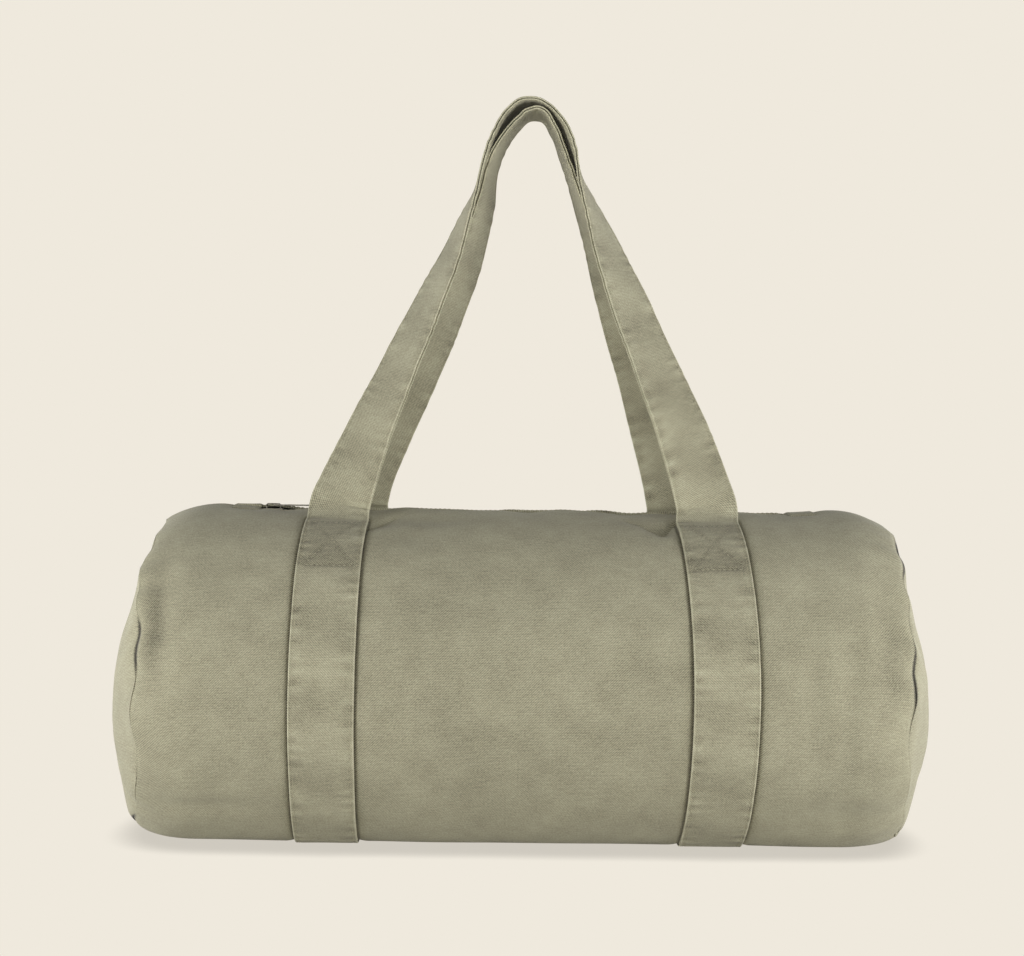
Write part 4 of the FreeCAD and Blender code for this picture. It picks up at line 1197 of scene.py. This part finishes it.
strap_twill = washed_twill("strap_twill", strap=True)
for side, side_name, handle in ((FRONT, "front", FRONT_HANDLE), (REAR, "rear", REAR_HANDLE)):
    band = strap_line(side, handle)
    half = len(band["length"]) // 2
    whole = band["length"][-1]
    up_turn, up_length = band["turn"][:half], band["length"][:half]
    down_turn, down_length = -band["turn"][half:], band["length"][half:]
    run_left = float(np.interp(RUN_TOP_TURN, up_turn, up_length))
    run_right = float(np.interp(-RUN_TOP_TURN, down_turn, down_length))
    leg_left = float(up_length[np.argmax(band["line"][:half, 2] > LEG_CUT_HEIGHT)])
    leg_right = float(down_length[np.argmax(band["line"][half:, 2] < LEG_CUT_HEIGHT)])
    box_left = [float(np.interp(turn, up_turn, up_length)) for turn in BOX_TURNS]
    box_right = [float(np.interp(-turn, down_turn, down_length)) for turn in BOX_TURNS]
    band["boxes"] = (box_left, box_right)
    runs = (("left", 0.0, run_left, box_left), ("right", run_right, whole, box_right))
    for end_name, first, last, box in runs:
        rows = edge_rows(band, first, last, both_faces=False) + box_rows(band, *box)
        strap = strap_piece(f"strap_{side_name}_{end_name}", band, first, last, rows)
        follow_mouth(strap)
        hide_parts(f"strap_run_{side_name}_{end_name}", f"strap_top_{side_name}_{end_name}")
    for end_name, first, last in (("left", run_left, leg_left), ("right", leg_right, run_right)):
        rows = edge_rows(band, first, last, both_faces=True)
        foot = strap_piece(f"handle_foot_{side_name}_{end_name}", band, first, last, rows)
        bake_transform(foot)
        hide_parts(f"handle_{side_name}_leg_{end_name}")
    rows = edge_rows(band, leg_left, leg_right, both_faces=True)
    loop = strap_piece(f"handle_band_{side_name}", band, leg_left, leg_right, rows)
    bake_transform(loop)
    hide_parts(f"handle_{side_name}_loop")


# Studio
# A plain pale floor that runs on into the background, soft lamps all round the bag, and the camera at the
# photograph's place: level, a little over the body's top, and rolled slightly.
CREAM = linear(239, 233, 221)
SHADOW_REACH = 0.028
CAMERA_PLACE = (-0.0085, -1.25, 0.260)
CAMERA_LENS = 59.6
CAMERA_ROLL = math.radians(0.7)
SOFT_LIGHT = 0.16
LAMP_AIM = (0.0, 0.0, 0.12)

# Each lamp's name, place, width and power
LAMPS = (
    ("left_softbox", (-1.05, -0.55, 0.22), 0.6, 9.8),
    ("right_softbox", (1.05, -0.55, 0.20), 0.6, 10.8),
    ("camera_softbox", (0.0, -2.20, 0.50), 1.0, 13.6),
    ("rear_softbox", (0.0, 2.20, 0.50), 1.0, 9.0),
    ("left_rear_softbox", (-1.25, 0.90, 0.15), 0.6, 7.5),
    ("right_rear_softbox", (1.25, 0.90, 0.15), 0.6, 8.5),
)


def seen_directly(tree):
    """1 for what the camera sees, straight on or through gloss or glass."""
    path = tree.nodes.new("ShaderNodeLightPath")
    seen = calculate(tree, "MAXIMUM", path.outputs["Is Camera Ray"], path.outputs["Is Glossy Ray"])
    return calculate(tree, "MAXIMUM", seen, path.outputs["Is Transmission Ray"])


bpy.ops.object.select_all(action="DESELECT")
bpy.ops.mesh.primitive_plane_add(size=60.0, location=(0, 0, 0))
floor = bpy.context.object
floor.name = "floor"
floor_material, floor_tree, floor_shader = new_material("pale_floor", 1.0)
floor_shader.inputs["Base Color"].default_value = linear(236, 234, 229)
floor_shader.inputs["Specular IOR Level"].default_value = 0.0
# Painted shadow: the floor's even cream glow, which the camera sees, darkens where the bag shuts out the sky
# nearby.
sky_reach = [("Distance", SHADOW_REACH)]
open_sky = socket_of(floor_tree, "ShaderNodeAmbientOcclusion", sky_reach, output=1, samples=16)
shadow = moved_range(floor_tree, open_sky, (0.25, 0.95), (0.72, 1.0), interpolation_type="SMOOTHSTEP")
glow = socket_of(floor_tree, "ShaderNodeEmission", [("Color", CREAM)], [("Strength", shadow)])
floor_links = [(0, seen_directly(floor_tree)), (1, floor_shader.outputs[0]), (2, glow)]
floor_mix = socket_of(floor_tree, "ShaderNodeMixShader", links=floor_links)
floor_tree.links.new(floor_mix, floor_tree.nodes["Material Output"].inputs["Surface"])
floor.data.materials.append(floor_material)

world = bpy.context.scene.world or bpy.data.worlds.new("studio")
bpy.context.scene.world = world
world.use_nodes = True
world_tree = world.node_tree
world_tree.nodes.clear()
soft_values = [("Color", (0.97, 0.98, 1.0, 1.0)), ("Strength", SOFT_LIGHT)]
soft_light = socket_of(world_tree, "ShaderNodeBackground", soft_values)
backdrop = socket_of(world_tree, "ShaderNodeBackground", [("Color", CREAM)])
world_links = [(0, seen_directly(world_tree)), (1, soft_light), (2, backdrop)]
world_mix = socket_of(world_tree, "ShaderNodeMixShader", links=world_links)
world_out = world_tree.nodes.new("ShaderNodeOutputWorld")
world_tree.links.new(world_mix, world_out.inputs["Surface"])

for name, place, width, power in LAMPS:
    lamp_data = bpy.data.lights.new(name, "AREA")
    lamp_data.size = width
    lamp_data.energy = power
    lamp = bpy.data.objects.new(name, lamp_data)
    bpy.context.scene.collection.objects.link(lamp)
    lamp.location = place
    aim = np.array(LAMP_AIM) - np.array(place)
    tilt = math.atan2(math.hypot(aim[0], aim[1]), -aim[2])
    lamp.rotation_euler = (tilt, 0.0, math.atan2(aim[1], aim[0]) - math.pi / 2)
    lamp.visible_camera = False

camera_data = bpy.data.cameras.new("camera")
camera_data.sensor_fit = "HORIZONTAL"
camera_data.sensor_width = 36.0
camera_data.lens = CAMERA_LENS
camera = bpy.data.objects.new("camera", camera_data)
bpy.context.scene.collection.objects.link(camera)
camera.location = CAMERA_PLACE
camera.rotation_euler = (math.pi / 2, -CAMERA_ROLL, 0.0)
bpy.context.scene.camera = camera
bpy.context.scene.view_settings.view_transform = "Standard"
